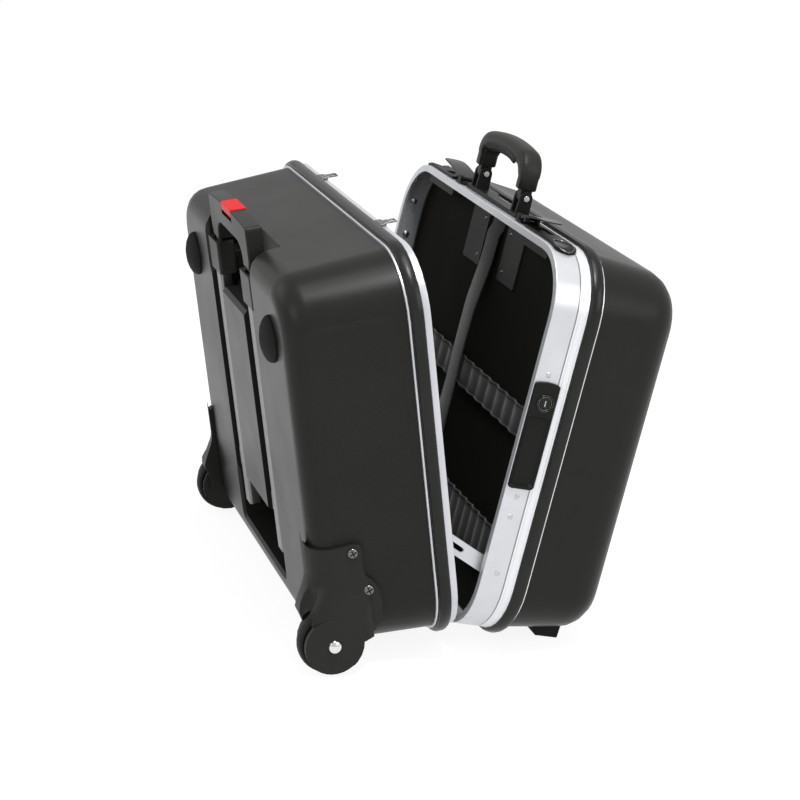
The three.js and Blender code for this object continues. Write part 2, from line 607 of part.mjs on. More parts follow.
// Bottom hinges: one leaf on each frame, with knuckles in turn along one pin
function hingeLeaf(side, reach, odd) {
  const axisZ0 = -hinge.drop;
  const leafLow = -gap - hinge.leaf;
  const pitch = hinge.length / knuckles;
  const edge = hinge.radius + gap * 2;
  const ends = [side * edge, side * reach].sort((a, b) => a - b);
  let leaf = block(hingeX, hingeX + hinge.length, ends[0], ends[1], leafLow, -gap);
  for (let k = odd; k < knuckles; k += 2) {
    const low = hingeX + k * pitch + gap;
    const high = low + pitch - gap * 2;
    const web = [0, side * (edge + hinge.leaf)].sort((a, b) => a - b);
    const arm = block(low, high, web[0], web[1], leafLow, -gap);
    leaf = joined(leaf, rod(hinge.radius, low, high, 'x', 0, axisZ0, 12), arm);
  }
  return leaf.subtract(rod(hinge.hole, hingeX - overrun, hingeX + hinge.length + overrun, 'x', 0, axisZ0, 12));
}

const makeRearLeaf = () => hingeLeaf(rearShell.side, hinge.rear, 1);
const makeFrontLeaf = () => hingeLeaf(frontShell.side, hinge.front, 0);
const makeHingePin = () => rod(hinge.pin, hingeX, hingeX + hinge.length, 'x', 0, -hinge.drop, 12);

// Stays: a slotted strip riveted to the front frame; a stud on the rear frame runs in the slot
function makeStay() {
  const half = stay.width / 2;
  const shape = roundedShape(-half, stay.length + half, -half, half, half);
  const slot = roundedShape(stay.slotStart, stay.slotEnd, -stay.slot / 2, stay.slot / 2, stay.slot / 2);
  shape.holes.push(slot);
  const strip = alongX(shape, stayX, stayX + stay.thick, { curveSegments: 4 });
  const floor = sideX - frontBand.tray - gap;
  const rivet = turned([
    [0, stayX - stay.headHeight], [stay.rivetHead - stay.headHeight, stayX - stay.headHeight],
    [stay.rivetHead, stayX], [stay.rivet, stayX], [stay.rivet, floor], [0, floor],
  ], 0, 0, 16);
  const turn = new THREE.Matrix4().makeRotationX(THREE.MathUtils.degToRad(stay.angle));
  turn.setPosition(0, stay.pivotY, stay.pivotZ);
  return moved(joined(strip, rivet), turn);
}

function makeStud() {
  const root = sideX - frame.face - gap;
  return turned([
    [0, stayX + stay.thick + gap], [stay.studRadius, stayX + stay.thick + gap], [stay.studRadius, root - stay.headHeight],
    [stay.studFoot, root - stay.headHeight], [stay.studFoot, root], [0, root],
  ], stay.studY, stay.studZ, 16);
}

// Carrying handle: a rounded bar swept over the two legs and the grip
function barSection(centre, tangent, width, depth) {
  const across = [tangent[1], -tangent[0]];
  return Array.from({ length: carry.sectionSteps }, (_, k) => {
    const angle = (k / carry.sectionSteps) * Math.PI * 2;
    const power = 2 / carry.squareness;
    const c = Math.sign(Math.cos(angle)) * Math.abs(Math.cos(angle)) ** power * width / 2;
    const s = Math.sign(Math.sin(angle)) * Math.abs(Math.sin(angle)) ** power * depth / 2;
    return [centre[0] + across[0] * c, carry.y + s, centre[1] + across[1] * c];
  });
}

// Rings of the handle from the foot of one leg round the arched grip to the other
function carryRings(grow) {
  const rings = [];
  const section = (centre, tangent, width, depth) => (
    barSection(centre, tangent, width + grow * 2, depth + grow * 2));
  const sweep = Math.PI / 2 - Math.atan(carry.archSlope);
  const archX = carry.legX - carry.bend + carry.bend * Math.cos(sweep);
  const rise = carry.archSlope * archX / 2;
  const bendZ = carry.gripZ - rise - carry.bend * Math.sin(sweep);
  const width = (share) => THREE.MathUtils.lerp(carry.legWidth, carry.gripHeight, share);
  const depth = (share) => THREE.MathUtils.lerp(carry.legDepth, carry.gripDepth, share);
  rings.push(section([carry.legX, carry.pinZ + carry.shoulder], [0, 1], width(0), depth(0)));
  for (let k = 0; k <= carry.bendSteps; k += 1) {
    const share = k / carry.bendSteps;
    const angle = share * sweep;
    const centre = [carry.legX - carry.bend + carry.bend * Math.cos(angle), bendZ + carry.bend * Math.sin(angle)];
    rings.push(section(centre, [-Math.sin(angle), Math.cos(angle)], width(share), depth(Math.sqrt(share))));
  }
  for (let k = 1; k <= carry.archSteps; k += 1) {
    const x = archX * (1 - k / (carry.archSteps + 1));
    const z = carry.gripZ - rise * (x / archX) ** 2;
    const slope = carry.archSlope * x / archX;
    const long = Math.hypot(1, slope);
    rings.push(section([x, z], [-1 / long, slope / long], width(1), depth(1)));
  }
  rings.push(section([0, carry.gripZ], [-1, 0], width(1), depth(1)));
  const other = rings.slice(0, -1).reverse().map((ring) => ring.map(([x, y, z]) => [-x, y, z]));
  return [...rings, ...other];
}

function makeCarryHandle() {
  const bar = skinned(carryRings(0), false);
  const legLow = carry.pinZ + carry.shoulder;
  const tongue = new THREE.Shape();
  const r = carry.tongueRadius;
  tongue.moveTo(carry.y + r, legLow + gap);
  tongue.lineTo(carry.y - r, legLow + gap);
  tongue.lineTo(carry.y - r, carry.pinZ);
  tongue.absarc(carry.y, carry.pinZ, r, Math.PI, Math.PI * 2, false);
  const low = carry.legX - carry.tongue / 2;
  const right = alongX(tongue, low, low + carry.tongue, { curveSegments: 8 })
    .subtract(rod(fork.pin + gap, low - overrun, low + carry.tongue + overrun, 'x', carry.y, carry.pinZ, 16));
  return joined(bar, right, mirrored(right));
}

// A thin lens of the handle's own surface, along the lower edge of the grip
function makeGripPad() {
  const sleeve = skinned(carryRings(gap + gripPad.thick), false).subtract(skinned(carryRings(gap), false));
  const lens = ellipsoid(0, carry.y - gripPad.inset, carry.gripZ - gripPad.inset + gripPad.rise,
    gripPad.halfWidth, gripPad.width, gripPad.height, gripPad.steps);
  return sleeve.intersect(lens);
}

function makeHandleBase() {
  const low = rim.height + gap;
  const shape = new THREE.Shape();
  shape.moveTo(-handleBase.halfWidth, handleBase.front);
  shape.lineTo(handleBase.halfWidth, handleBase.front);
  shape.lineTo(handleBase.halfWidth, handleBase.back - handleBase.radius);
  shape.quadraticCurveTo(handleBase.halfWidth, handleBase.back, handleBase.halfWidth - handleBase.radius, handleBase.back);
  shape.lineTo(handleBase.waistHalf, handleBase.back);
  shape.bezierCurveTo(handleBase.waistHalf / 2, handleBase.waist, -handleBase.waistHalf / 2, handleBase.waist,
    -handleBase.waistHalf, handleBase.back);
  shape.lineTo(handleBase.radius - handleBase.halfWidth, handleBase.back);
  shape.quadraticCurveTo(-handleBase.halfWidth, handleBase.back, -handleBase.halfWidth, handleBase.back - handleBase.radius);
  const plate = alongZ(shape, low, handleBase.high, { curveSegments: 6 });
  const cheekShape = new THREE.Shape();
  cheekShape.moveTo(carry.y - fork.foot, low);
  cheekShape.lineTo(carry.y + fork.foot, low);
  cheekShape.lineTo(carry.y + fork.radius, carry.pinZ);
  cheekShape.absarc(carry.y, carry.pinZ, fork.radius, 0, Math.PI, false);
  const cheeks = [-1, 1].flatMap((end) => [-1, 1].map((side) => {
    const face = end * carry.legX + side * (fork.halfWidth - fork.cheek / 2);
    return alongX(cheekShape, face - fork.cheek / 2, face + fork.cheek / 2, { curveSegments: 8 });
  }));
  const hole = rod(fork.pin + gap, carry.legX - fork.halfWidth - overrun, carry.legX + fork.halfWidth + overrun,
    'x', carry.y, carry.pinZ, 16);
  return joined(plate, ...cheeks).subtract(hole).subtract(mirrored(hole));
}

function makeHandlePin() {
  const low = carry.legX - fork.halfWidth - gap;
  const high = carry.legX + fork.halfWidth + gap;
  return turned([
    [0, low - fork.headHeight], [fork.head, low - fork.headHeight], [fork.head, low], [fork.pin, low],
    [fork.pin, high], [fork.head, high], [fork.head, high + fork.headHeight], [0, high + fork.headHeight],
  ], carry.y, carry.pinZ, 16);
}

// Latches, drawn for the +X side
function latchEar(low) {
  const ear = new THREE.Shape();
  ear.moveTo(latch.pivotX - latch.earRadius, rim.height + gap);
  ear.lineTo(latch.pivotX + latch.earRadius, rim.height + gap);
  ear.lineTo(latch.pivotX + latch.earRadius, latch.pivotZ);
  ear.absarc(latch.pivotX, latch.pivotZ, latch.earRadius, 0, Math.PI, false);
  return alongY(ear, low, low + latch.ear, { curveSegments: 6 });
}

function makeLatchBase() {
  const plan = roundedShape(latch.inner, latchOuter, latch.front, latch.back, latch.radius);
  const body = alongZ(plan, rim.height - latch.low, latch.high, { curveSegments: 5 })
    .intersect(rimBlock(latch.high - rim.height, 0, frontBand.end));
  const dish = ellipsoid(sideX - cup.inset, cup.y, cup.z, cup.length, cup.width, cup.depth, cup.steps);
  const hollow = alongZ(roundedShape(latchWell.inner, latchWell.outer, latchWell.front, latchWell.back, latchWell.radius),
    latchWell.floor, latch.high + overrun, { curveSegments: 2 });
  const keeperHalf = keeper.tab / 2 + gap * 4;
  const keeperTop = keeper.low + keeper.thick + gap * 4;
  const entry = block(latch.noseX - keeperHalf, latch.noseX + keeperHalf, latch.front - overrun,
    keeper.reach + gap * 5, rim.height, keeperTop);
  const noseHalf = latch.nose / 2 + gap * 4;
  const drop = block(latch.noseX - noseHalf, latch.noseX + noseHalf, latch.noseY - noseHalf,
    latch.noseY + noseHalf, rim.height, latch.high + overrun);
  const pinHole = rod(latch.pin + gap, latch.front - overrun, latch.back + overrun, 'y', latch.pivotX, latch.pivotZ, 16);
  const band = rimBlock(gap, seamGap, frontBand.end);
  return joined(body, latchEar(latch.front), latchEar(latch.back - latch.ear))
    .subtract(dish).subtract(hollow).subtract(entry).subtract(drop).subtract(pinHole).subtract(band);
}

function makeLever() {
  const side = new THREE.Shape();
  const middle = (latch.neck + latch.leverEnd) / 2;
  side.moveTo(latch.pivotX, latch.leverLow);
  side.lineTo(latch.neck, latch.leverLow);
  side.quadraticCurveTo(middle, latch.leverLow + latch.arch, latch.leverEnd, latch.leverLow);
  side.lineTo(latch.leverEnd, latch.leverLow + gap * 4);
  side.quadraticCurveTo(middle, latch.leverTop + latch.arch, latch.pivotX, latch.leverTop);
  const plan = new THREE.Shape();
  plan.moveTo(latch.pivotX, latch.leverFront);
  plan.lineTo(latch.leverEnd - latch.tip, latch.leverFront);
  plan.quadraticCurveTo(latch.leverEnd, latch.leverFront, latch.leverEnd, latch.leverFront + latch.tip);
  plan.lineTo(latch.leverEnd, latch.leverBack - latch.tip);
  plan.quadraticCurveTo(latch.leverEnd, latch.leverBack, latch.leverEnd - latch.tip, latch.leverBack);
  plan.lineTo(latch.pivotX, latch.leverBack);
  const plate = alongY(side, latch.leverFront, latch.leverBack, { curveSegments: 6 })
    .intersect(alongZ(plan, latch.leverLow - overrun, latch.leverTop + latch.arch, { curveSegments: 4 }));
  const innerEar = latch.front + latch.ear + gap;
  const outerEar = latch.back - latch.ear - gap;
  const trimLow = block(latch.pivotX - overrun, latch.neck, latch.leverFront - overrun, innerEar,
    latch.leverLow - overrun, latch.leverTop + overrun);
  const trimHigh = block(latch.pivotX - overrun, latch.neck, outerEar, latch.leverBack + overrun,
    latch.leverLow - overrun, latch.leverTop + overrun);
  const knuckle = rod(latch.knuckle, innerEar, outerEar, 'y', latch.pivotX, latch.pivotZ, 16);
  const pin = rod(latch.pin, latch.front, latch.back, 'y', latch.pivotX, latch.pivotZ, 12);
  const noseHalf = latch.nose / 2;
  const nose = block(latch.noseX - noseHalf, latch.noseX + noseHalf, latch.noseY - noseHalf,
    latch.noseY + noseHalf, latch.noseLow, latch.leverTop);
  const lever = joined(plate.subtract(trimLow).subtract(trimHigh), knuckle, pin, nose);
  const open = new THREE.Matrix4().makeTranslation(latch.pivotX, 0, latch.pivotZ);
  open.multiply(new THREE.Matrix4().makeRotationY(-THREE.MathUtils.degToRad(latch.open)));
  open.multiply(new THREE.Matrix4().makeTranslation(-latch.pivotX, 0, -latch.pivotZ));
  return moved(lever, open);
}

function makeLatchBox() {
  const shape = roundedShape(latchBox.inner, latchBox.outer, latchBox.low, rim.height - frontBand.tray - gap, latchBox.radius);
  return alongY(shape, latchBox.front, latchBox.back, { curveSegments: 3 });
}

function makeKeeper() {
  const half = keeper.base / 2;
  const tabHalf = keeper.tab / 2;
  const holeHalf = keeper.hole / 2;
  const foot0 = block(latch.noseX - half, latch.noseX + half, -rearBand.end + gap, -seamGap, rim.height + gap,
    keeper.low + keeper.thick);
  const tab = block(latch.noseX - tabHalf, latch.noseX + tabHalf, -rearBand.end / 2, keeper.reach, keeper.low,
    keeper.low + keeper.thick);
  const hole = block(latch.noseX - holeHalf, latch.noseX + holeHalf, latch.noseY - holeHalf, latch.noseY + holeHalf,
    rim.height, keeper.low + keeper.thick + overrun);
  return joined(foot0, tab).subtract(hole);
}

// Lock plate with a scooped finger grip
function lockOpening() {
  const m = lockPlate.cutMargin;
  const inset = lockPlate.tubInset;
  return block(sideX - frontBand.ledgeDepth - overrun, sideX + overrun, lockPlate.front + inset - m,
    lockPlate.back - inset + m, lockPlate.tubLow - m, lockPlate.lockZ + lockPlate.boss + m);
}

function lockPlateShape() {
  const shape = new THREE.Shape();
  const middle = (lockPlate.front + lockPlate.back) / 2;
  const r = lockPlate.radius;
  shape.moveTo(lockPlate.front + r, lockPlate.low);
  shape.lineTo(lockPlate.back - r, lockPlate.low);
  shape.quadraticCurveTo(lockPlate.back, lockPlate.low, lockPlate.back, lockPlate.low + r);
  shape.lineTo(lockPlate.back, lockPlate.high - r);
  shape.quadraticCurveTo(middle, lockPlate.high + lockPlate.arch, lockPlate.front, lockPlate.high - r);
  shape.lineTo(lockPlate.front, lockPlate.low + r);
  shape.quadraticCurveTo(lockPlate.front, lockPlate.low, lockPlate.front + r, lockPlate.low);
  return shape;
}

function makeLockPlate() {
  const seat = sideX + gap;
  const face = seat + lockPlate.thick;
  const plate = alongX(lockPlateShape(), seat, face, { curveSegments: 6 });
  const tub = block(seat - lockPlate.tubDepth, face, lockPlate.front + lockPlate.tubInset,
    lockPlate.back - lockPlate.tubInset, lockPlate.tubLow, lockPlate.tubHigh);
  const boss = rod(lockPlate.boss, seat - lockPlate.bossDepth, face, 'x', lockPlate.lockY, lockPlate.lockZ, 24);
  const ring = rod(lockPlate.ring, face - gap, face + lockPlate.ringHeight, 'x', lockPlate.lockY, lockPlate.lockZ, 24);
  const middle = (lockPlate.front + lockPlate.back) / 2;
  const scoopShape = new THREE.Shape();
  scoopShape.absellipse(sideX + lockPlate.scoopOut, middle, lockPlate.scoopRadius, lockPlate.scoopRadius - lockPlate.scoopInset / 2,
    0, Math.PI * 2);
  const dent = alongZ(scoopShape, lockPlate.tubLow + lockPlate.scoopInset, lockPlate.tubHigh - lockPlate.scoopInset,
    { curveSegments: 14 });
  const bore = rod(barrel.radius + gap, seat - barrel.depth - overrun, face + lockPlate.ringHeight + overrun, 'x',
    lockPlate.lockY, lockPlate.lockZ, 24);
  return joined(plate, tub, boss, ring).subtract(dent).subtract(bore);
}

function makeBarrel() {
  const seat = sideX + gap;
  const face = seat + lockPlate.thick + lockPlate.ringHeight - barrel.proud;
  const body = rod(barrel.radius, seat - barrel.depth, face, 'x', lockPlate.lockY, lockPlate.lockZ, 24);
  const slot = block(face - barrel.slotDepth, face + overrun, lockPlate.lockY - barrel.slotWidth / 2,
    lockPlate.lockY + barrel.slotWidth / 2, lockPlate.lockZ - barrel.slotLength / 2, lockPlate.lockZ + barrel.slotLength / 2);
  return body.subtract(slot);
}

// Tool board and what is fixed to it
function makeBoard() {
  return rimBlock(-board.inset, board.front, board.back);
}

function makeBracket() {
  const shape = roundedShape(bracket.inner, bracket.outer, bracket.low, bracket.high, bracket.hole);
  for (const z of [bracket.low + bracket.inset, bracket.high - bracket.inset]) {
    const hole = new THREE.Path();
    hole.absarc(bracket.inner + bracket.inset, z, bracket.hole, 0, Math.PI * 2, true);
    shape.holes.push(hole);
  }
  return alongY(shape, bracket.front, bracket.front + bracket.thick, { curveSegments: 6 });
}

// The strap hangs away from the board between its ends
function strapBow(z) {
  const rise = THREE.MathUtils.smoothstep(z, strap.bowLow, strap.bowLow + strap.fade);
  const fall = THREE.MathUtils.smoothstep(z, strap.bowHigh - strap.fade, strap.bowHigh);
  return strap.bow * (rise - fall);
}

function makeStrap() {
  const back = board.front - gap;
  const heights = Array.from({ length: strap.steps + 1 }, (_, k) => (
    THREE.MathUtils.lerp(strap.low + strap.tab, strap.high - strap.tab, k / strap.steps)));
  const outer = heights.map((z) => [strap.front - strapBow(z), z]);
  const inner = heights.map((z) => [strap.front + strap.thick - strapBow(z), z]).reverse();
  const side = polygon([
    [back, strap.low], [strap.front, strap.low], ...outer, [strap.front, strap.high], [back, strap.high],
    [back, strap.high - strap.tab], ...inner, [back, strap.low + strap.tab],
  ]);
  return alongX(side, -strap.halfWidth, strap.halfWidth);
}

// A band stitched down between raised loops, as a corrugated strip
function corrugated(band) {
  const back = board.front - gap;
  const count = Math.floor((sideX - band.inset) * 2 / band.pitch);
  const start = -count * band.pitch / 2;
  const humpSteps = 4;
  const crest = [];
  for (let k = 0; k < count; k += 1) {
    const left = start + k * band.pitch + band.flat / 2;
    const width = band.pitch - band.flat;
    for (let s = 0; s <= humpSteps; s += 1) {
      const rise = Math.sin((s / humpSteps) * Math.PI) * (band.height - band.thick);
      crest.push([left + width * s / humpSteps, rise]);
    }
  }
  const outer = crest.map(([x, rise]) => [x, back - band.thick - rise]);
  const inner = crest.map(([x, rise]) => [x, back - rise]).reverse();
  const end = start + count * band.pitch;
  const points = [[start, back], [start, back - band.thick], ...outer, [end, back - band.thick], [end, back], ...inner];
  return alongZ(polygon(points), band.low, band.high);
}

// The way the case stands: the rear half leans back onto its wheels and the front half onto
// its feet, by the one pair of angles that puts both on the floor
function stance() {
  const open = THREE.MathUtils.degToRad(openAngle);
  const wheelZ = wheel.z + hinge.drop;
  const footZ = hinge.drop - foot.drop;
  const p = wheel.y - foot.front * Math.cos(open) - footZ * Math.sin(open);
  const q = wheelZ + foot.front * Math.sin(open) - footZ * Math.cos(open);
  const rear = Math.atan2(p, q) + Math.acos(wheel.radius / Math.hypot(p, q));
  const height = wheel.radius - wheel.y * Math.sin(rear) - wheelZ * Math.cos(rear);
  return { rear, front: open - rear, height };
}

function half(tilt, height) {
  const pivot = new THREE.Group();
  pivot.rotation.x = tilt;
  pivot.position.z = height;
  const inner = new THREE.Group();
  inner.position.z = hinge.drop;
  pivot.add(inner);
  return { pivot, inner };
}

function place(parent, name, solid, finish) {
  const geometry = geometryOf(solid).toNonIndexed();
  geometry.computeVertexNormals();
  const mesh = new THREE.Mesh(geometry, new THREE.MeshStandardMaterial(finishes[finish]));
  mesh.name = name;
  parent.add(mesh);
}

function placePair(parent, name, solid, finish) {
  place(parent, `${name}_right`, solid, finish);
  place(parent, `${name}_left`, mirrored(solid), finish);
}

function buildRearHalf(parent) {
  place(parent, 'rear_shell', makeRearShell(), 'shell');
  place(parent, 'rear_frame', makeRearFrame(), 'aluminium');
  place(parent, 'rear_bead', makeBead(rearBand, rearShell.side), 'gloss');
  placePair(parent, 'wheel_housing', makeHousing(), 'moulding');
  placePair(parent, 'axle', makeAxle(), 'chrome');
  placePair(parent, 'tyre', makeTyre(), 'rubber');
  placePair(parent, 'wheel_hub', makeHub(), 'moulding');
  placePair(parent, 'bumper_pad', makePad(), 'rubber');
  placePair(parent, 'trolley_sleeve', makeSleeve(), 'steel');
  placePair(parent, 'trolley_collar', makeCollar(), 'moulding');
  placePair(parent, 'trolley_middle_tube', makeTube(1, tube.low + tubeStep.rise, middleHigh), 'steel');
  placePair(parent, 'trolley_inner_tube', makeTube(2, tube.low + tubeStep.rise * 2, innerHigh), 'steel');
  place(parent, 'trolley_grip', makePull(), 'moulding');
  place(parent, 'trolley_button', makeButton(), 'red');
  placePair(parent, 'latch_keeper', makeKeeper(), 'chrome');
  placePair(parent, 'stay_stud', makeStud(), 'steel');
  placePair(parent, 'hinge_leaf_rear', makeRearLeaf(), 'steel');
  placePair(parent, 'hinge_pin', makeHingePin(), 'steel');
}

function buildFrontHalf(parent) {
  place(parent, 'front_shell', makeFrontShell(), 'shell');
  place(parent, 'front_frame', makeFrontFrame(), 'aluminium');
  place(parent, 'front_bead', makeBead(frontBand, frontShell.side), 'gloss');
  placePair(parent, 'front_foot', makeFoot(), 'rubber');
  placePair(parent, 'hinge_leaf_front', makeFrontLeaf(), 'steel');
  placePair(parent, 'lid_stay', makeStay(), 'aluminium');
  place(parent, 'handle_base', makeHandleBase(), 'moulding');
  placePair(parent, 'handle_pin', makeHandlePin(), 'chrome');
  place(parent, 'carry_handle', makeCarryHandle(), 'moulding');
  place(parent, 'handle_grip_pad', makeGripPad(), 'rubber');
  placePair(parent, 'latch_base', makeLatchBase(), 'moulding');
  placePair(parent, 'latch_lever', makeLever(), 'gloss');
  placePair(parent, 'latch_box', makeLatchBox(), 'grey');
  place(parent, 'lock_plate', makeLockPlate(), 'moulding');
  place(parent, 'lock_barrel', makeBarrel(), 'gloss');
  place(parent, 'tool_board', makeBoard(), 'felt');
  placePair(parent, 'board_bracket', makeBracket(), 'grey');
  place(parent, 'strap', makeStrap(), 'webbing');
  place(parent, 'tool_loops', corrugated(loops), 'webbing');
  place(parent, 'tool_pocket', corrugated(pocket), 'webbing');
}

const { rear, front, height } = stance();
const rearHalf = half(rear, height);
const frontHalf = half(-front, height);
buildRearHalf(rearHalf.inner);
buildFrontHalf(frontHalf.inner);

const group = new THREE.Group();
group.add(rearHalf.pivot, frontHalf.pivot);
const middle = new THREE.Box3().setFromObject(group, true).getCenter(new THREE.Vector3());
rearHalf.pivot.position.y = -middle.y;
frontHalf.pivot.position.y = -middle.y;

export default group;
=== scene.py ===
import json
import math

import bmesh
import bpy
from mathutils import Matrix, Vector

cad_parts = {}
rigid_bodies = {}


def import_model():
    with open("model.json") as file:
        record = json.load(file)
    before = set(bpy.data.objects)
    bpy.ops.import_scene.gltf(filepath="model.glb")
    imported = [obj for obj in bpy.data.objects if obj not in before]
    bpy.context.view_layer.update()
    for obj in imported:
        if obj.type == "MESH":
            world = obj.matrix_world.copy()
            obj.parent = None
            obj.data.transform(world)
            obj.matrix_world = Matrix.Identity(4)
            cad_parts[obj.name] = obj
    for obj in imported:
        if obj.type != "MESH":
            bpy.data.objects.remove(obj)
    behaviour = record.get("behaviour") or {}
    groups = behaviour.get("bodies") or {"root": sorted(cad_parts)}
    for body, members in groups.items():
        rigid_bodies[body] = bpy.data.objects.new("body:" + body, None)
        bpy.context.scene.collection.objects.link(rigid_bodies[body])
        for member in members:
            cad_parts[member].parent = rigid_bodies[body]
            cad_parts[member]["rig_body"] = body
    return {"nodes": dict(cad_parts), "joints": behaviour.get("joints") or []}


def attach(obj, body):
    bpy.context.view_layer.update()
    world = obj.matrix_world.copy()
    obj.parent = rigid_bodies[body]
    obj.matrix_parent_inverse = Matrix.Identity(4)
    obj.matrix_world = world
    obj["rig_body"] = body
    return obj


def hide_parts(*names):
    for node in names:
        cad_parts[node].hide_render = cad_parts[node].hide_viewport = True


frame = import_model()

scene = bpy.context.scene
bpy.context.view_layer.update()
mm = 0.001
print("frame loaded")

# Where the halves stand: the hinge and the tilts come from the joints of the frame
jointNamed = {joint["name"]: joint for joint in frame["joints"]}
hingeAt = Vector(jointNamed["lid_hinge"]["pos_m"])
slideAxis = jointNamed["trolley_first_pull"]["axis"]
latchAxis = jointNamed["latch_left_lift"]["axis"]
rearTilt = math.atan2(-slideAxis[1], slideAxis[2])
frontTilt = math.atan2(latchAxis[2], latchAxis[1])
hingeDrop = 3 * mm  # from the rim's underside down to the hinge's axis


def halfPlace(tilt):
    # from the closed case, seam at y = 0 and rim underside at z = 0, to where the half stands
    return Matrix.Translation(hingeAt) @ Matrix.Rotation(tilt, 4, "X") @ Matrix.Translation((0, 0, hingeDrop))


rearPlace = halfPlace(rearTilt)
frontPlace = halfPlace(frontTilt)

# Camera
cameraLook = {
    "position": (2.07011818, -0.69813823, 0.88002649),
    "aim": (-0.0912056, 0.02658131, 0.17291546),
    "roll": 4.212,
    "lens": 95.977,
    "sensor": 36,
    "reach": 50,
}


def makeCamera(look):
    data = bpy.data.cameras.new("camera")
    data.lens = look["lens"]
    data.sensor_width = look["sensor"]
    data.clip_end = look["reach"]
    camera = bpy.data.objects.new("camera", data)
    scene.collection.objects.link(camera)
    view = Vector(look["aim"]) - Vector(look["position"])
    turn = view.to_track_quat("-Z", "Y").to_matrix().to_4x4()
    roll = Matrix.Rotation(math.radians(look["roll"]), 4, "Z")
    camera.matrix_world = Matrix.Translation(look["position"]) @ turn @ roll
    scene.camera = camera


makeCamera(cameraLook)

# Materials


def addNode(tree, kind, inputs=None, **settings):
    node = tree.nodes.new(kind)
    for name, value in settings.items():
        setattr(node, name, value)
    for key, value in (inputs or {}).items():
        socket = node.inputs[key]
        if isinstance(value, bpy.types.NodeSocket):
            tree.links.new(value, socket)
        else:
            socket.default_value = value
    return node


def sums(tree, operation, a, b=0.0, c=0.0):
    return addNode(tree, "ShaderNodeMath", {0: a, 1: b, 2: c}, operation=operation).outputs[0]


def newMaterial(name):
    material = bpy.data.materials.new(name)
    material.use_nodes = True
    tree = material.node_tree
    shader = tree.nodes["Principled BSDF"]
    return material, tree, shader


def coordinates(tree, tilt=None):
    place = addNode(tree, "ShaderNodeTexCoord").outputs["Object"]
    if tilt is None:
        return place
    back = halfPlace(tilt).inverted()
    settings = {"Vector": place, "Location": back.to_translation(), "Rotation": back.to_euler()}
    return addNode(tree, "ShaderNodeMapping", settings).outputs[0]


def noise(tree, place, scale, detail=3.0, roughness=0.55):
    values = {"Vector": place, "Scale": scale, "Detail": detail, "Roughness": roughness}
    return addNode(tree, "ShaderNodeTexNoise", values).outputs[0]


def remap(tree, value, low, high, fromLow=0.3, fromHigh=0.7):
    # most noise lies between 0.3 and 0.7
    values = {"Value": value, "From Min": fromLow, "From Max": fromHigh, "To Min": low, "To Max": high}
    return addNode(tree, "ShaderNodeMapRange", values).outputs[0]


def mixColor(tree, share, a, b):
    node = addNode(tree, "ShaderNodeMix", data_type="RGBA")
    for key, value in ((0, share), (6, a), (7, b)):
        if isinstance(value, bpy.types.NodeSocket):
            tree.links.new(value, node.inputs[key])
        elif key == 0:
            node.inputs[key].default_value = value
        else:
            node.inputs[key].default_value = (*value, 1)
    return node.outputs[2]


def bumped(tree, height, distance, strength=1.0, normal=None):
    values = {"Height": height, "Distance": distance, "Strength": strength}
    if normal is not None:
        values["Normal"] = normal
    return addNode(tree, "ShaderNodeBump", values).outputs[0]


def plastic(name, look, tilt=None):
    material, tree, shader = newMaterial(name)
    place = coordinates(tree, tilt)
    cloud = noise(tree, place, look["cloudScale"])
    color = mixColor(tree, remap(tree, cloud, 0, 1), look["color"], look["worn"])
    grain = noise(tree, place, look["grainScale"], 2.0)
    tree.links.new(color, shader.inputs["Base Color"])
    tree.links.new(remap(tree, cloud, look["smooth"], look["rough"]), shader.inputs["Roughness"])
    normal = bumped(tree, grain, look["grainDepth"], look["grainStrength"])
    tree.links.new(normal, shader.inputs["Normal"])
    shader.inputs["IOR"].default_value = look["ior"]
    shader.inputs["Specular IOR Level"].default_value = look["shine"]
    return material, tree, shader, place, normal


baseLook = {
    "color": (0.0128, 0.0126, 0.0117), "worn": (0.0148, 0.0145, 0.0136), "cloudScale": 14, "grainScale": 1600,
    "grainDepth": 0.00006, "grainStrength": 0.5, "smooth": 0.3, "rough": 0.36, "ior": 1.45, "shine": 0.15,
}

panelLook = {
    "halfDepth": 45 * mm, "middleY": -76 * mm, "halfHeight": 118 * mm, "middleZ": 232 * mm, "corner": 14 * mm,
    "edge": 1.6 * mm, "pitch": 2.7 * mm, "dotDepth": 0.00022, "sink": 0.0006, "sideFrom": 232 * mm,
    "dotHighlightColor": (0.021, 0.0207, 0.0195), "dotHighlightShare": 0.28, "between": 0.1, "onDot": 0.8,
}


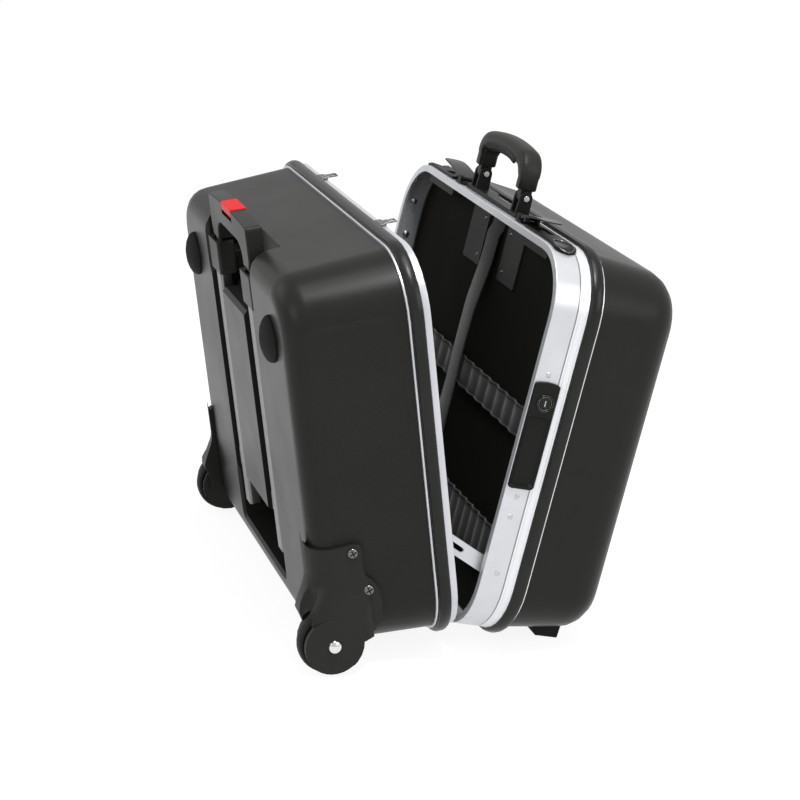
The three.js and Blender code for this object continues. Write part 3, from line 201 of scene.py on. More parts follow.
def shellPlastic(name, tilt, panel=None):
    material, tree, shader, place, normal = plastic(name, baseLook, tilt)
    if panel is None:
        return material
    parts = addNode(tree, "ShaderNodeSeparateXYZ", {0: place}).outputs
    # distance outside the rounded panel on the narrow sides, then a mask with a soft edge
    offY = sums(tree, "SUBTRACT", sums(tree, "ABSOLUTE", sums(tree, "SUBTRACT", parts[1], panel["middleY"])),
                panel["halfDepth"] - panel["corner"])
    offZ = sums(tree, "SUBTRACT", sums(tree, "ABSOLUTE", sums(tree, "SUBTRACT", parts[2], panel["middleZ"])),
                panel["halfHeight"] - panel["corner"])
    pair = [sums(tree, "MAXIMUM", value, 0.0) for value in (offY, offZ)]
    far = sums(tree, "SQRT", sums(tree, "ADD", sums(tree, "MULTIPLY", pair[0], pair[0]),
                                  sums(tree, "MULTIPLY", pair[1], pair[1])))
    mask = remap(tree, far, 1.0, 0.0, panel["corner"] - panel["edge"], panel["corner"])
    side = sums(tree, "GREATER_THAN", sums(tree, "ABSOLUTE", parts[0]), panel["sideFrom"])
    mask = sums(tree, "MULTIPLY", mask, side)
    turns = 2 * math.pi / panel["pitch"]
    waves = [sums(tree, "SINE", sums(tree, "MULTIPLY", parts[k], turns)) for k in (1, 2)]
    dots = sums(tree, "MULTIPLY", sums(tree, "MULTIPLY", waves[0], waves[1]), mask)
    height = sums(tree, "ADD", sums(tree, "MULTIPLY", dots, panel["dotDepth"]),
                  sums(tree, "MULTIPLY", mask, -panel["sink"]))
    tree.links.new(bumped(tree, height, 1.0, 1.0, normal), shader.inputs["Normal"])
    # the raised dots are tinted lighter: a painted highlight for the light their crests catch, over the
    # bumped dot pattern
    plain = shader.inputs["Base Color"].links[0].from_socket
    tone = remap(tree, dots, 0, 1, panel["between"], panel["onDot"])
    share = sums(tree, "MULTIPLY", tone, panel["dotHighlightShare"])
    tree.links.new(mixColor(tree, share, plain, panel["dotHighlightColor"]), shader.inputs["Base Color"])
    return material


aluminiumLook = {
    "color": (0.6, 0.61, 0.635), "worn": (0.55, 0.56, 0.585), "smooth": 0.27, "rough": 0.36, "metallic": 0.5,
    "line": 25.9 * mm, "lineHalf": 0.7 * mm, "lineShadeColor": (0.2, 0.2, 0.21), "stripColor": (0.74, 0.75, 0.77),
    "cloudScale": 30, "fineScale": 2600, "fineDepth": 0.00002, "fineStrength": 0.35,
}


def aluminiumMaterial(name, look, tilt=None):
    # with a tilt, the band of that half also shows its pressed line, a thin dark line of painted shade, and
    # the brighter strip beyond it
    material, tree, shader = newMaterial(name)
    place = coordinates(tree, tilt)
    cloud = noise(tree, place, look["cloudScale"])
    fine = noise(tree, place, look["fineScale"], 2.0)
    color = mixColor(tree, remap(tree, cloud, 0, 1), look["color"], look["worn"])
    if tilt is not None:
        depth = addNode(tree, "ShaderNodeSeparateXYZ", {0: place}).outputs[1]
        beyond = sums(tree, "GREATER_THAN", depth, look["line"])
        color = mixColor(tree, beyond, color, look["stripColor"])
        # painted shade: the pressed line is a dark line in the colour, not a groove
        onLineShade = sums(tree, "COMPARE", depth, look["line"], look["lineHalf"])
        color = mixColor(tree, onLineShade, color, look["lineShadeColor"])
    tree.links.new(color, shader.inputs["Base Color"])
    tree.links.new(remap(tree, cloud, look["smooth"], look["rough"]), shader.inputs["Roughness"])
    tree.links.new(bumped(tree, fine, look["fineDepth"], look["fineStrength"]), shader.inputs["Normal"])
    shader.inputs["Metallic"].default_value = look["metallic"]
    return material


metalLook = {"fineScale": 900, "dark": 0.8, "smooth": 0.85, "rough": 1.2, "depth": 0.00001, "strength": 0.4}


def metal(name, color, rough, streak=None, look=metalLook):
    # fine clouds of tone and roughness, drawn out along one way where the metal is brushed
    material, tree, shader = newMaterial(name)
    place = coordinates(tree)
    if streak:
        place = addNode(tree, "ShaderNodeMapping", {"Vector": place, "Scale": streak}).outputs[0]
    fine = noise(tree, place, look["fineScale"])
    dark = tuple(value * look["dark"] for value in color)
    tree.links.new(mixColor(tree, remap(tree, fine, 0, 1), color, dark), shader.inputs["Base Color"])
    roughness = remap(tree, fine, rough * look["smooth"], rough * look["rough"])
    tree.links.new(roughness, shader.inputs["Roughness"])
    tree.links.new(bumped(tree, fine, look["depth"], look["strength"]), shader.inputs["Normal"])
    shader.inputs["Metallic"].default_value = 1.0
    return material


weaveLook = {
    "fuzzScale": 900, "fuzzShare": 0.5, "strength": 0.8, "rough": 0.85, "sheen": 0.25, "sheenRough": 0.5,
}


def webbingMaterial(name, look, weaving=weaveLook):
    # a plain weave: two crossed waves under a little fuzz
    material, tree, shader = newMaterial(name)
    place = coordinates(tree, frontTilt)
    parts = addNode(tree, "ShaderNodeSeparateXYZ", {0: place}).outputs
    along = sums(tree, "SINE", sums(tree, "MULTIPLY", parts[2], 2 * math.pi / look["pitch"]))
    across = sums(tree, "SINE", sums(tree, "MULTIPLY", parts[0], 2 * math.pi / look["rib"]))
    weave = sums(tree, "MULTIPLY_ADD", sums(tree, "MULTIPLY", along, across), 0.5, 0.5)
    fuzz = noise(tree, place, weaving["fuzzScale"])
    height = sums(tree, "ADD", weave, sums(tree, "MULTIPLY", fuzz, weaving["fuzzShare"]))
    mixed = sums(tree, "MULTIPLY_ADD", fuzz, 0.5, sums(tree, "MULTIPLY", weave, 0.5))
    tone = remap(tree, mixed, 0, 1, 0.2, 0.8)
    tree.links.new(mixColor(tree, tone, look["dark"], look["color"]), shader.inputs["Base Color"])
    tree.links.new(bumped(tree, height, look["depth"], weaving["strength"]), shader.inputs["Normal"])
    shader.inputs["Roughness"].default_value = weaving["rough"]
    shader.inputs["Sheen Weight"].default_value = weaving["sheen"]
    shader.inputs["Sheen Roughness"].default_value = weaving["sheenRough"]
    return material


def varied(look):
    return {**baseLook, **look}


def knurledRubber(name, look):
    # crossed ridges at a small pitch over the handle's patch
    material, tree, shader, place, normal = plastic(name, varied(look), frontTilt)
    parts = addNode(tree, "ShaderNodeSeparateXYZ", {0: place}).outputs
    depth = sums(tree, "SUBTRACT", parts[2], parts[1])
    lines = [sums(tree, operation, parts[0], depth) for operation in ("ADD", "SUBTRACT")]
    waves = [sums(tree, "SINE", sums(tree, "MULTIPLY", line, 2 * math.pi / look["pitch"])) for line in lines]
    height = sums(tree, "MULTIPLY", waves[0], waves[1])
    tree.links.new(bumped(tree, height, look["ridge"], 1.0, normal), shader.inputs["Normal"])
    return material


materials = {
    "rearShell": shellPlastic("rearShellPlastic", rearTilt, panelLook),
    "frontShell": shellPlastic("frontShellPlastic", frontTilt),
    "aluminium": aluminiumMaterial("satinAluminium", aluminiumLook),
    "frontBand": aluminiumMaterial("frontBandAluminium", aluminiumLook, frontTilt),
    "bead": plastic("glossBead", varied({
        "smooth": 0.22, "rough": 0.3, "grainStrength": 0.1, "color": (0.0085, 0.0085, 0.0081),
        "shine": 0.24}))[0],
    "gloss": plastic("glossPlastic", varied({
        "smooth": 0.2, "rough": 0.28, "grainStrength": 0.15, "color": (0.008, 0.008, 0.0077),
        "shine": 0.18}))[0],
    "piano": plastic("polishedBlack", varied({
        "smooth": 0.05, "rough": 0.09, "grainStrength": 0.02, "color": (0.003, 0.003, 0.003),
        "worn": (0.0035, 0.0035, 0.0035), "shine": 0.5}))[0],
    "moulding": plastic("mouldedPlastic", varied({
        "smooth": 0.34, "rough": 0.42, "grainScale": 1300, "grainStrength": 0.6,
        "color": (0.0165, 0.0162, 0.0151), "worn": (0.0195, 0.0191, 0.018)}))[0],
    "fitting": plastic("darkFitting", varied({
        "smooth": 0.34, "rough": 0.42, "grainStrength": 0.4, "color": (0.0085, 0.0083, 0.0078),
        "worn": (0.0105, 0.0103, 0.0097), "shine": 0.12}))[0],
    "rubber": plastic("blackRubber", varied({
        "smooth": 0.6, "rough": 0.75, "color": (0.0085, 0.0084, 0.008), "worn": (0.013, 0.0128, 0.0121)}))[0],
    "tyre": plastic("tyreRubber", varied({
        "smooth": 0.5, "rough": 0.65, "color": (0.0095, 0.0094, 0.0089), "worn": (0.015, 0.0148, 0.014)}))[0],
    "knurl": knurledRubber("knurledPatch", {
        "smooth": 0.45, "rough": 0.55, "color": (0.02, 0.0198, 0.0188), "worn": (0.026, 0.0256, 0.0244),
        "pitch": 3.0 * mm, "ridge": 0.0006}),
    "red": plastic("redPlastic", varied({
        "smooth": 0.3, "rough": 0.4, "grainStrength": 0.15, "color": (0.55, 0.006, 0.012),
        "worn": (0.5, 0.0055, 0.011), "shine": 0.06}))[0],
    "board": plastic("pressedBoard", varied({
        "smooth": 0.8, "rough": 0.92, "grainScale": 700, "grainDepth": 0.0001, "grainStrength": 0.7,
        "color": (0.0085, 0.0083, 0.0068), "worn": (0.0105, 0.0102, 0.0085), "ior": 1.3}))[0],
    "grey": plastic("greyPlastic", varied({
        "smooth": 0.48, "rough": 0.58, "color": (0.023, 0.0227, 0.0214),
        "worn": (0.027, 0.0267, 0.0253)}))[0],
    "chrome": metal("brightChrome", (0.78, 0.78, 0.79), 0.12),
    "steel": metal("brushedSteel", (0.2, 0.2, 0.205), 0.36, (1, 1, 0.03)),
    "rivet": metal("rivetMetal", (0.6, 0.61, 0.63), 0.3),
    "screw": metal("darkScrew", (0.17, 0.17, 0.172), 0.16),
    "glint": metal("paleSteel", (0.5, 0.5, 0.51), 0.22),
    "strap": webbingMaterial("strapWebbing", {
        "pitch": 1.6 * mm, "rib": 1.9 * mm, "dark": (0.0045, 0.0045, 0.0042),
        "color": (0.0135, 0.0134, 0.0127), "depth": 0.0002}),
    "elastic": webbingMaterial("loopElastic", {
        "pitch": 1.1 * mm, "rib": 2.4 * mm, "dark": (0.0035, 0.0034, 0.003),
        "color": (0.0095, 0.0093, 0.0084), "depth": 0.00025}),
    "binding": webbingMaterial("edgeBinding", {
        "pitch": 0.9 * mm, "rib": 0.9 * mm, "dark": (0.009, 0.0089, 0.0082),
        "color": (0.026, 0.0257, 0.0243), "depth": 0.00012}),
    "thread": plastic("sewingThread", varied({
        "smooth": 0.7, "rough": 0.85, "color": (0.06, 0.0594, 0.057), "worn": (0.08, 0.0792, 0.076)}))[0],
    # near black: painted shade for the screws' cross recesses
    "recessShade": plastic("shadowedRecess", varied({
        "smooth": 0.7, "rough": 0.9, "color": (0.003, 0.003, 0.003), "worn": (0.004, 0.004, 0.004)}))[0],
}
print("materials made")

# Pieces: finishing, and copies of the solids with softened edges


# edges that turn more than this many degrees stay sharp
sharpOver = {"ribbon": 40, "stitch": 50, "head": 35, "plate": 50, "ring": 60, "slot": 40, "dish": 60,
             "bar": 50, "ear": 40}


def finishPiece(name, bm, place, body, material, edges):
    bmesh.ops.recalc_face_normals(bm, faces=bm.faces)
    bm.transform(place)
    mesh = bpy.data.meshes.new(name)
    bm.to_mesh(mesh)
    bm.free()
    mesh.materials.append(materials[material])
    mesh.shade_smooth()
    mesh.set_sharp_from_angle(angle=math.radians(sharpOver[edges]))
    piece = bpy.data.objects.new(name, mesh)
    scene.collection.objects.link(piece)
    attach(piece, body)
    return piece


heelLook = {
    "axleY": -131.3 * mm, "axleZ": 29.3 * mm, "inner": 190 * mm, "outer": 260 * mm,
    "outline": ((30.3, -1.7), (45.8, -1.2), (49.3, 5), (54, 14), (62, 14), (62, -44), (8, -44), (8, -29.3),
                (15, -26.2), (21, -21.6), (26, -15.2), (29.2, -8)),
}


def extruded(bm, points, way):
    # a closed prism from an outline
    face = bm.faces.new([bm.verts.new(point) for point in points])
    grown = bmesh.ops.extrude_face_region(bm, geom=[face])["geom"]
    bmesh.ops.translate(bm, vec=way, verts=[item for item in grown if isinstance(item, bmesh.types.BMVert)])


def withoutHeel(mesh, side, look):
    # the wheel housing's front flap ends at the axle's height, beside the round cheek
    bm = bmesh.new()
    corners = [(side * look["inner"], look["axleY"] + y * mm, look["axleZ"] + z * mm)
               for y, z in look["outline"]]
    extruded(bm, corners, (side * (look["outer"] - look["inner"]), 0, 0))
    bmesh.ops.recalc_face_normals(bm, faces=bm.faces)
    bm.transform(rearPlace)
    block = bpy.data.meshes.new("heel_block")
    bm.to_mesh(block)
    bm.free()
    cutter = bpy.data.objects.new("heel_cutter", block)
    whole = bpy.data.objects.new("heel_whole", mesh)
    for item in (cutter, whole):
        scene.collection.objects.link(item)
    cut = whole.modifiers.new("cut", "BOOLEAN")
    cut.operation = "DIFFERENCE"
    cut.solver = "EXACT"
    cut.object = cutter
    result = bpy.data.meshes.new_from_object(whole.evaluated_get(bpy.context.evaluated_depsgraph_get()))
    for item in (cutter, whole):
        bpy.data.objects.remove(item)
    result.name = mesh.name
    return result


softLook = {"merge": 3e-6, "flat": math.radians(0.5), "sharp": math.radians(32)}


def softened(node, material, width, segments, look=softLook):
    # a merged copy of a solid, its edges rounded, that stands in for it
    source = frame["nodes"][node]
    bm = bmesh.new()
    bm.from_mesh(source.data)
    bmesh.ops.remove_doubles(bm, verts=bm.verts, dist=look["merge"])
    bmesh.ops.dissolve_limit(bm, angle_limit=look["flat"], verts=bm.verts, edges=bm.edges)
    mesh = bpy.data.meshes.new(node + "_shape")
    bm.to_mesh(mesh)
    bm.free()
    if node.startswith("wheel_housing"):
        mesh = withoutHeel(mesh, 1 if node.endswith("right") else -1, heelLook)
    mesh.materials.append(materials[material])
    mesh.shade_smooth()
    piece = bpy.data.objects.new(node + "_shape", mesh)
    scene.collection.objects.link(piece)
    bevel = piece.modifiers.new("edges", "BEVEL")
    bevel.width = width
    bevel.segments = segments
    bevel.limit_method = "ANGLE"
    bevel.angle_limit = look["sharp"]
    bevel.use_clamp_overlap = True
    bevel.harden_normals = False
    weighted = piece.modifiers.new("shading", "WEIGHTED_NORMAL")
    weighted.keep_sharp = False
    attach(piece, source["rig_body"])
    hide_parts(node)


def both(*names):
    return [name + side for name in names for side in ("_right", "_left")]


softening = [
    (["rear_shell"], "rearShell", 1.2 * mm, 3),
    (["front_shell"], "frontShell", 0.8 * mm, 2),
    (["rear_frame"], "aluminium", 0.35 * mm, 2),
    (["front_frame"], "frontBand", 0.35 * mm, 2),
    (["rear_bead", "front_bead"], "bead", 0.3 * mm, 2),
    (both("wheel_housing"), "moulding", 0.9 * mm, 3),
    (both("axle"), "chrome", 0.3 * mm, 2),
    (both("tyre"), "tyre", 0.8 * mm, 3),
    (both("wheel_hub"), "moulding", 0.4 * mm, 2),
    (both("bumper_pad"), "rubber", 0.6 * mm, 2),
    (both("trolley_sleeve", "trolley_middle_tube", "trolley_inner_tube"), "steel", 0.25 * mm, 2),
    (both("trolley_collar"), "moulding", 0.8 * mm, 2),
    (["trolley_grip"], "moulding", 0.9 * mm, 3),
    (["trolley_button"], "red", 0.7 * mm, 3),
    (both("latch_keeper"), "screw", 0.3 * mm, 2),
    (both("handle_pin"), "glint", 0.5 * mm, 2),
    (both("stay_stud", "hinge_leaf_rear", "hinge_leaf_front", "hinge_pin"), "steel", 0.2 * mm, 2),
    (both("front_foot"), "rubber", 1.0 * mm, 3),
    (both("lid_stay"), "aluminium", 0.25 * mm, 2),
    (["handle_base"], "fitting", 0.6 * mm, 3),
    (["handle_grip_pad"], "knurl", 0.2 * mm, 2),
    (both("latch_base"), "fitting", 0.5 * mm, 3),
    (both("latch_lever"), "gloss", 0.7 * mm, 3),
    (both("latch_box"), "grey", 0.6 * mm, 2),
    (["lock_barrel"], "gloss", 0.3 * mm, 2),
    (["tool_board"], "board", 0.8 * mm, 2),
    (both("board_bracket"), "grey", 0.25 * mm, 2),
]
for nodes, material, width, segments in softening:
    for node in nodes:
        softened(node, material, width, segments)
print("solids softened")

# Strap, loops and pockets: sewn webbing in the front half


def ribbon(name, rings, material):
    # rings of equal length skinned into one closed strip
    bm = bmesh.new()
    rows = [[bm.verts.new(point) for point in ring] for ring in rings]
    count = len(rows[0])
    for low, high in zip(rows, rows[1:]):
        for k in range(count):
            bm.faces.new((low[k], low[(k + 1) % count], high[(k + 1) % count], high[k]))
    bm.faces.new(rows[0])
    bm.faces.new(rows[-1])
    return finishPiece(name, bm, frontPlace, "front_half", material, "ribbon")


def bandRing(centre, along, out, halfLong, halfThick, arcSteps=3):
    # a flat oval section, its ends rounded
    points = []
    for end in (1, -1):
        for k in range(arcSteps + 1):
            angle = math.pi * (end / 2 - k / arcSteps)
            points.append(centre + along * (end * (halfLong - halfThick) + halfThick * math.cos(angle))
                          + out * (halfThick * math.sin(angle)))
    return points


def smoothstep(value, low, high):
    share = min(max((value - low) / (high - low), 0), 1)
    return share * share * (3 - 2 * share)


boardFront = 25.9 * mm
strapLook = {
    "halfWidth": 17 * mm, "halfThick": 0.75 * mm, "low": 14 * mm, "high": 388 * mm, "tab": 9 * mm,
    "ramp": 12 * mm, "front": 21.3 * mm, "bow": 6 * mm, "bowLow": 26 * mm, "bowHigh": 350 * mm,
    "fade": 70 * mm, "steps": 90, "turn": 5, "turns": 1.6, "ripple": 0.35 * mm, "ripples": 23,
    "hem": 1.5 * mm, "thread": 0.1 * mm, "stitched": 9,
}


def strapDepth(z, look):
    bow = look["bow"] * (smoothstep(z, look["bowLow"], look["bowLow"] + look["fade"])
                         - smoothstep(z, look["bowHigh"] - look["fade"], look["bowHigh"]))
    clear = look["front"] - bow
    seat = boardFront - look["halfThick"]
    rise = smoothstep(z, look["low"] + look["tab"], look["low"] + look["tab"] + look["ramp"])
    fall = smoothstep(z, look["high"] - look["tab"] - look["ramp"], look["high"] - look["tab"])
    return seat + (clear - seat) * (rise - fall)


def makeStrap(look):
    rings, centres = [], []
    for k in range(look["steps"] + 1):
        z = look["low"] + (look["high"] - look["low"]) * k / look["steps"]
        centres.append(Vector((0, strapDepth(z, look), z)))
    for k, centre in enumerate(centres):
        share = k / look["steps"]
        way = (centres[min(k + 1, look["steps"])] - centres[max(k - 1, 0)]).normalized()
        twist = math.sin(math.pi * share) * math.cos(math.pi * share * look["turns"])
        angle = math.radians(look["turn"]) * twist
        along = Vector((math.cos(angle), math.sin(angle), 0))
        out = along.cross(way).normalized()
        wave = look["ripple"] * math.sin(share * look["ripples"]) * math.sin(math.pi * share)
        rings.append(bandRing(centre + out * wave, along, out, look["halfWidth"], look["halfThick"]))
    piece = ribbon("sewn_strap", rings, "strap")
    length = sum((b - a).length for a, b in zip(centres, centres[1:]))
    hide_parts("strap")
    return piece, (look["halfWidth"] * 2, length)


stitchLook = {"radius": 0.28 * mm, "length": 2.3 * mm, "pitch": 3.4 * mm}


def stitches(name, spots, look=stitchLook):
    # spots are (place, way, out); each stitch is a short six-sided rod
    bm = bmesh.new()
    for place, way, out in spots:
        side = way.cross(out)
        turn = Matrix((side, out, way)).transposed().to_4x4()
        bmesh.ops.create_cone(bm, cap_ends=True, cap_tris=False, segments=6, radius1=look["radius"],
                              radius2=look["radius"], depth=look["length"],
                              matrix=Matrix.Translation(place) @ turn)
    return finishPiece(name, bm, frontPlace, "front_half", "thread", "stitch")


axisX, axisY, axisZ = Vector((1, 0, 0)), Vector((0, 1, 0)), Vector((0, 0, 1))


def strapStitches(look):
    # two rows of stitches across each end of the strap
    spots = []
    face = look["halfThick"] + look["thread"]
    heights = (look["low"] + look["hem"], look["low"] + look["tab"],
               look["high"] - look["tab"], look["high"] - look["hem"])
    for z in heights:
        for k in range(look["stitched"]):
            x = (k - look["stitched"] // 2) * stitchLook["pitch"]
            spots.append((Vector((x, strapDepth(z, look) - face, z)), axisX, -axisY))
    return stitches("strap_stitches", spots)


strapPiece, strapFlat = makeStrap(strapLook)
strapThread = strapStitches(strapLook)

bandLooks = {
    "tool_loops": {"half": 208 * mm, "low": 201 * mm, "high": 232 * mm, "pitch": 26 * mm, "flat": 3.2 * mm,
                   "height": 3.5 * mm, "thick": 1.1 * mm, "binding": 0.95 * mm, "steps": 10, "rows": 14},
    "tool_pocket": {"half": 204 * mm, "low": 58 * mm, "high": 105 * mm, "pitch": 20 * mm, "flat": 1.6 * mm,
                    "height": 3.5 * mm, "thick": 1.1 * mm, "binding": 1.0 * mm, "steps": 8, "rows": 16},
}
bindingLook = {"flatter": 1.3, "sides": 8, "seam": 3, "stitch": 0.62, "thread": 0.05 * mm}


def bandCrest(look):
    # points (x, rise, way) along a band that is sewn down between raised loops
    count = int(look["half"] * 2 / look["pitch"])
    start = -count * look["pitch"] / 2
    width = look["pitch"] - look["flat"]
    points = [(start, 0.0)]
    for k in range(count):
        left = start + k * look["pitch"] + look["flat"] / 2
        rise = look["height"] - look["thick"]
        points += [(left + width * n / look["steps"], math.sin(math.pi * n / look["steps"]) * rise)
                   for n in range(look["steps"] + 1)]
    points.append((start + count * look["pitch"], 0.0))
    seams = [start + k * look["pitch"] for k in range(count + 1)]
    return points, seams


def makeBand(name, look):
    crest, seams = bandCrest(look)
    middle = (look["low"] + look["high"]) / 2
    halfHigh = (look["high"] - look["low"]) / 2
    halfThick = look["thick"] / 2
    rings = []
    for x, rise in crest:
        centre = Vector((x, boardFront - halfThick - rise, middle))
        rings.append(bandRing(centre, axisZ, axisY, halfHigh, halfThick))
    piece = ribbon(name + "_band", rings, "elastic")
    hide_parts(name)
    for label, z in (("low", look["low"] + look["binding"]), ("high", look["high"] - look["binding"])):
        tube = []
        for x, rise in crest:
            centre = Vector((x, boardFront - look["binding"] - rise, z))
            tube.append([centre + axisY * (look["binding"] * math.cos(a))
                         + axisZ * (look["binding"] * bindingLook["flatter"] * math.sin(a))
                         for a in (math.tau * k / bindingLook["sides"] for k in range(bindingLook["sides"]))])
        ribbon(name + "_edge_" + label, tube, "binding")
    spots = []
    clear = look["binding"] * bindingLook["seam"]
    step = (look["high"] - look["low"] - 2 * clear) / (look["rows"] - 1)
    front = boardFront - look["thick"] - bindingLook["thread"]
    for x in seams[1:-1]:
        for k in range(look["rows"]):
            spots.append((Vector((x, front, look["low"] + clear + step * k)), axisZ, -axisY))
    stitches(name + "_stitches", spots, {**stitchLook, "length": step * bindingLook["stitch"]})


for name, look in bandLooks.items():
    makeBand(name, look)
print("webbing sewn")

# Fasteners
screwLook = {
    "radius": 5.3 * mm, "height": 2.3 * mm, "cross": 3.4 * mm, "slot": 1.1 * mm, "sink": 1.5 * mm, "steps": 5,
    "foot": 1.0 * mm, "proud": 0.12 * mm, "turn": 20, "sides": 32,
    "places": ((240.3 * mm, -101 * mm, 118.6 * mm), (241.2 * mm, -89.3 * mm, 77.4 * mm)),
    "out": (1, -0.05, 0.02),
}
domeLooks = {
    "frame_rivets": {"places": ((242.5 * mm, 13 * mm, 283 * mm), (242.5 * mm, 14 * mm, 157 * mm),
                                (242.5 * mm, 13 * mm, 136 * mm)),
                     "out": (1, 0, 0), "radius": 2.6 * mm, "height": 0.8 * mm, "material": "rivet"},
    "frame_bolts": {"places": ((239 * mm, 13.5 * mm, 348 * mm), (239 * mm, 13.5 * mm, 308 * mm)),
                    "out": (-1, 0, 0), "radius": 4.2 * mm, "height": 2.4 * mm, "material": "rivet"},
    "stay_rivet": {"places": ((242.5 * mm, 15 * mm, 76 * mm),),
                   "out": (1, 0, 0), "radius": 2.8 * mm, "height": 0.7 * mm, "material": "rivet"},
    "bracket_screws": {"places": ((39 * mm, 24.7 * mm, 336 * mm), (39 * mm, 24.7 * mm, 377 * mm)),
                       "out": (0, -1, 0), "radius": 2.3 * mm, "height": 1.0 * mm, "material": "screw"},
}
domeMesh = {"steps": 4, "foot": 0.3 * mm, "sides": 20}
bothSides = ((1, "right"), (-1, "left"))


def turnedPiece(bm, profile, matrix, sides):
    # profile of (radius, height) from axis to axis, spun round the local Z and added to the mesh
    part = bmesh.new()
    verts = [part.verts.new((radius, 0, height)) for radius, height in profile]
    edges = [part.edges.new(pair) for pair in zip(verts, verts[1:])]
    bmesh.ops.spin(part, geom=verts + edges, cent=(0, 0, 0), axis=axisZ, angle=math.tau, steps=sides,
                   use_merge=True)
    bmesh.ops.remove_doubles(part, verts=part.verts, dist=1e-6)
    part.transform(matrix)
    mesh = bpy.data.meshes.new("turned")
    part.to_mesh(mesh)
    part.free()
    bm.from_mesh(mesh)
    bpy.data.meshes.remove(mesh)


def facing(place, out):
    return Matrix.Translation(place) @ Vector(out).to_track_quat("Z", "Y").to_matrix().to_4x4()


def domeProfile(radius, height, steps, foot):
    arc = [(radius * math.cos(k * math.pi / 2 / steps), height * math.sin(k * math.pi / 2 / steps))
           for k in range(steps + 1)]
    return [(0, -foot), (radius, -foot)] + arc[:-1] + [(0, height)]


def crossScrew(name, place, out, body, bodyPlace, look):
    # a domed head, and the cross sunk in it as a dark piece of its own: painted shade of the cross recess
    bm = bmesh.new()
    seat = facing(place, out)
    profile = domeProfile(look["radius"], look["height"], look["steps"], look["foot"])
    turnedPiece(bm, profile, seat, look["sides"])
    finishPiece(name, bm, bodyPlace, body, "screw", "head")
    bm = bmesh.new()
    lift = Matrix.Translation((0, 0, look["height"] - look["sink"] / 2 + look["proud"]))
    scale = Matrix.Diagonal((look["cross"] * 2, look["slot"], look["sink"], 1))
    for angle in (look["turn"], look["turn"] + 90):
        turn = Matrix.Rotation(math.radians(angle), 4, "Z")
        bmesh.ops.create_cube(bm, size=1, matrix=seat @ turn @ lift @ scale)
    finishPiece(name + "_cross", bm, bodyPlace, body, "recessShade", "head")


def onSide(side, place):
    # a place or a direction of the right side, carried over to the side that is asked for
    return Vector((side * place[0], place[1], place[2]))


def domes(name, side, look):
    # domed heads in the front half
    bm = bmesh.new()
    profile = domeProfile(look["radius"], look["height"], domeMesh["steps"], domeMesh["foot"])
    for place in look["places"]:
        turnedPiece(bm, profile, facing(onSide(side, place), onSide(side, look["out"])), domeMesh["sides"])
    finishPiece(name, bm, frontPlace, "front_half", look["material"], "head")


def makeFasteners(side, label):
    out = onSide(side, screwLook["out"])
    for k, place in enumerate(screwLook["places"]):
        name = f"housing_screw_{label}_{k + 1}"
        crossScrew(name, onSide(side, place), out, "rear_half", rearPlace, screwLook)
    for name, look in domeLooks.items():
        domes(f"{name}_{label}", side, look)


for side, label in bothSides:
    makeFasteners(side, label)
print("fasteners made")

# Lock plate with its scooped grip, lock rings and latch cups
plateLook = {
    "front": 1 * mm, "back": 28 * mm, "low": 166 * mm, "high": 276 * mm, "seat": 242.8 * mm,
    "thick": 2.8 * mm, "corner": 4 * mm, "arch": 4 * mm, "edge": 0.8 * mm,
    "scoopLow": 169 * mm, "scoopHigh": 241 * mm, "scoopDip": 6.4 * mm, "scoopFade": 2.5 * mm, "lip": 0.9 * mm,
    "lineHigh": 243.5 * mm, "lineDip": 0.5 * mm, "lineWidth": 0.7 * mm, "across": 24, "rows": 96,
    "domeShare": 0.62, "domePower": 6, "leastHalf": 1 * mm, "crowding": 0.35,
}


def plateHalfWidth(z, look):
    # half the plate's width at a height: rounded below, domed above
    half = (look["back"] - look["front"]) / 2
    if z < look["low"] + look["corner"]:
        rest = 1 - (z - look["low"]) / look["corner"]
        return half - look["corner"] * (1 - math.sqrt(max(1 - rest * rest, 0)))
    dome = look["high"] - look["arch"]
    if z > dome:
        rest = (z - dome) / (look["high"] - dome)
        arc = math.sqrt(max(1 - rest * rest, 0)) * look["domeShare"]
        flat = (1 - rest ** look["domePower"]) * (1 - look["domeShare"])
        return half * (arc + flat)
    return half


def plateFace(y, z, halfWidth, look):
    # how far out the plate's face lies: a scooped grip, a fine line above it and rounded edges
    middle = (look["front"] + look["back"]) / 2
    half = (look["back"] - look["front"]) / 2 - look["lip"]
    face = look["seat"] + look["thick"]
    gate = (smoothstep(z, look["scoopLow"], look["scoopLow"] + look["scoopFade"])
            - smoothstep(z, look["scoopHigh"] - look["scoopFade"], look["scoopHigh"]))
    away = min(abs(y - middle) / half, 1)
    radius = (half * half + look["scoopDip"] ** 2) / (2 * look["scoopDip"])
    arc = math.sqrt(radius ** 2 - (away * half) ** 2) - (radius - look["scoopDip"])
    line = look["lineDip"] * math.exp(-((z - look["lineHigh"]) / look["lineWidth"]) ** 2)
    near = min((halfWidth - abs(y - middle)) / look["edge"], (z - look["low"]) / look["edge"],
               (look["high"] - z) / look["edge"], 1)
    rounding = look["edge"] * (1 - math.sqrt(max(1 - (1 - max(near, 0)) ** 2, 0)))
    return face - arc * gate - line - rounding


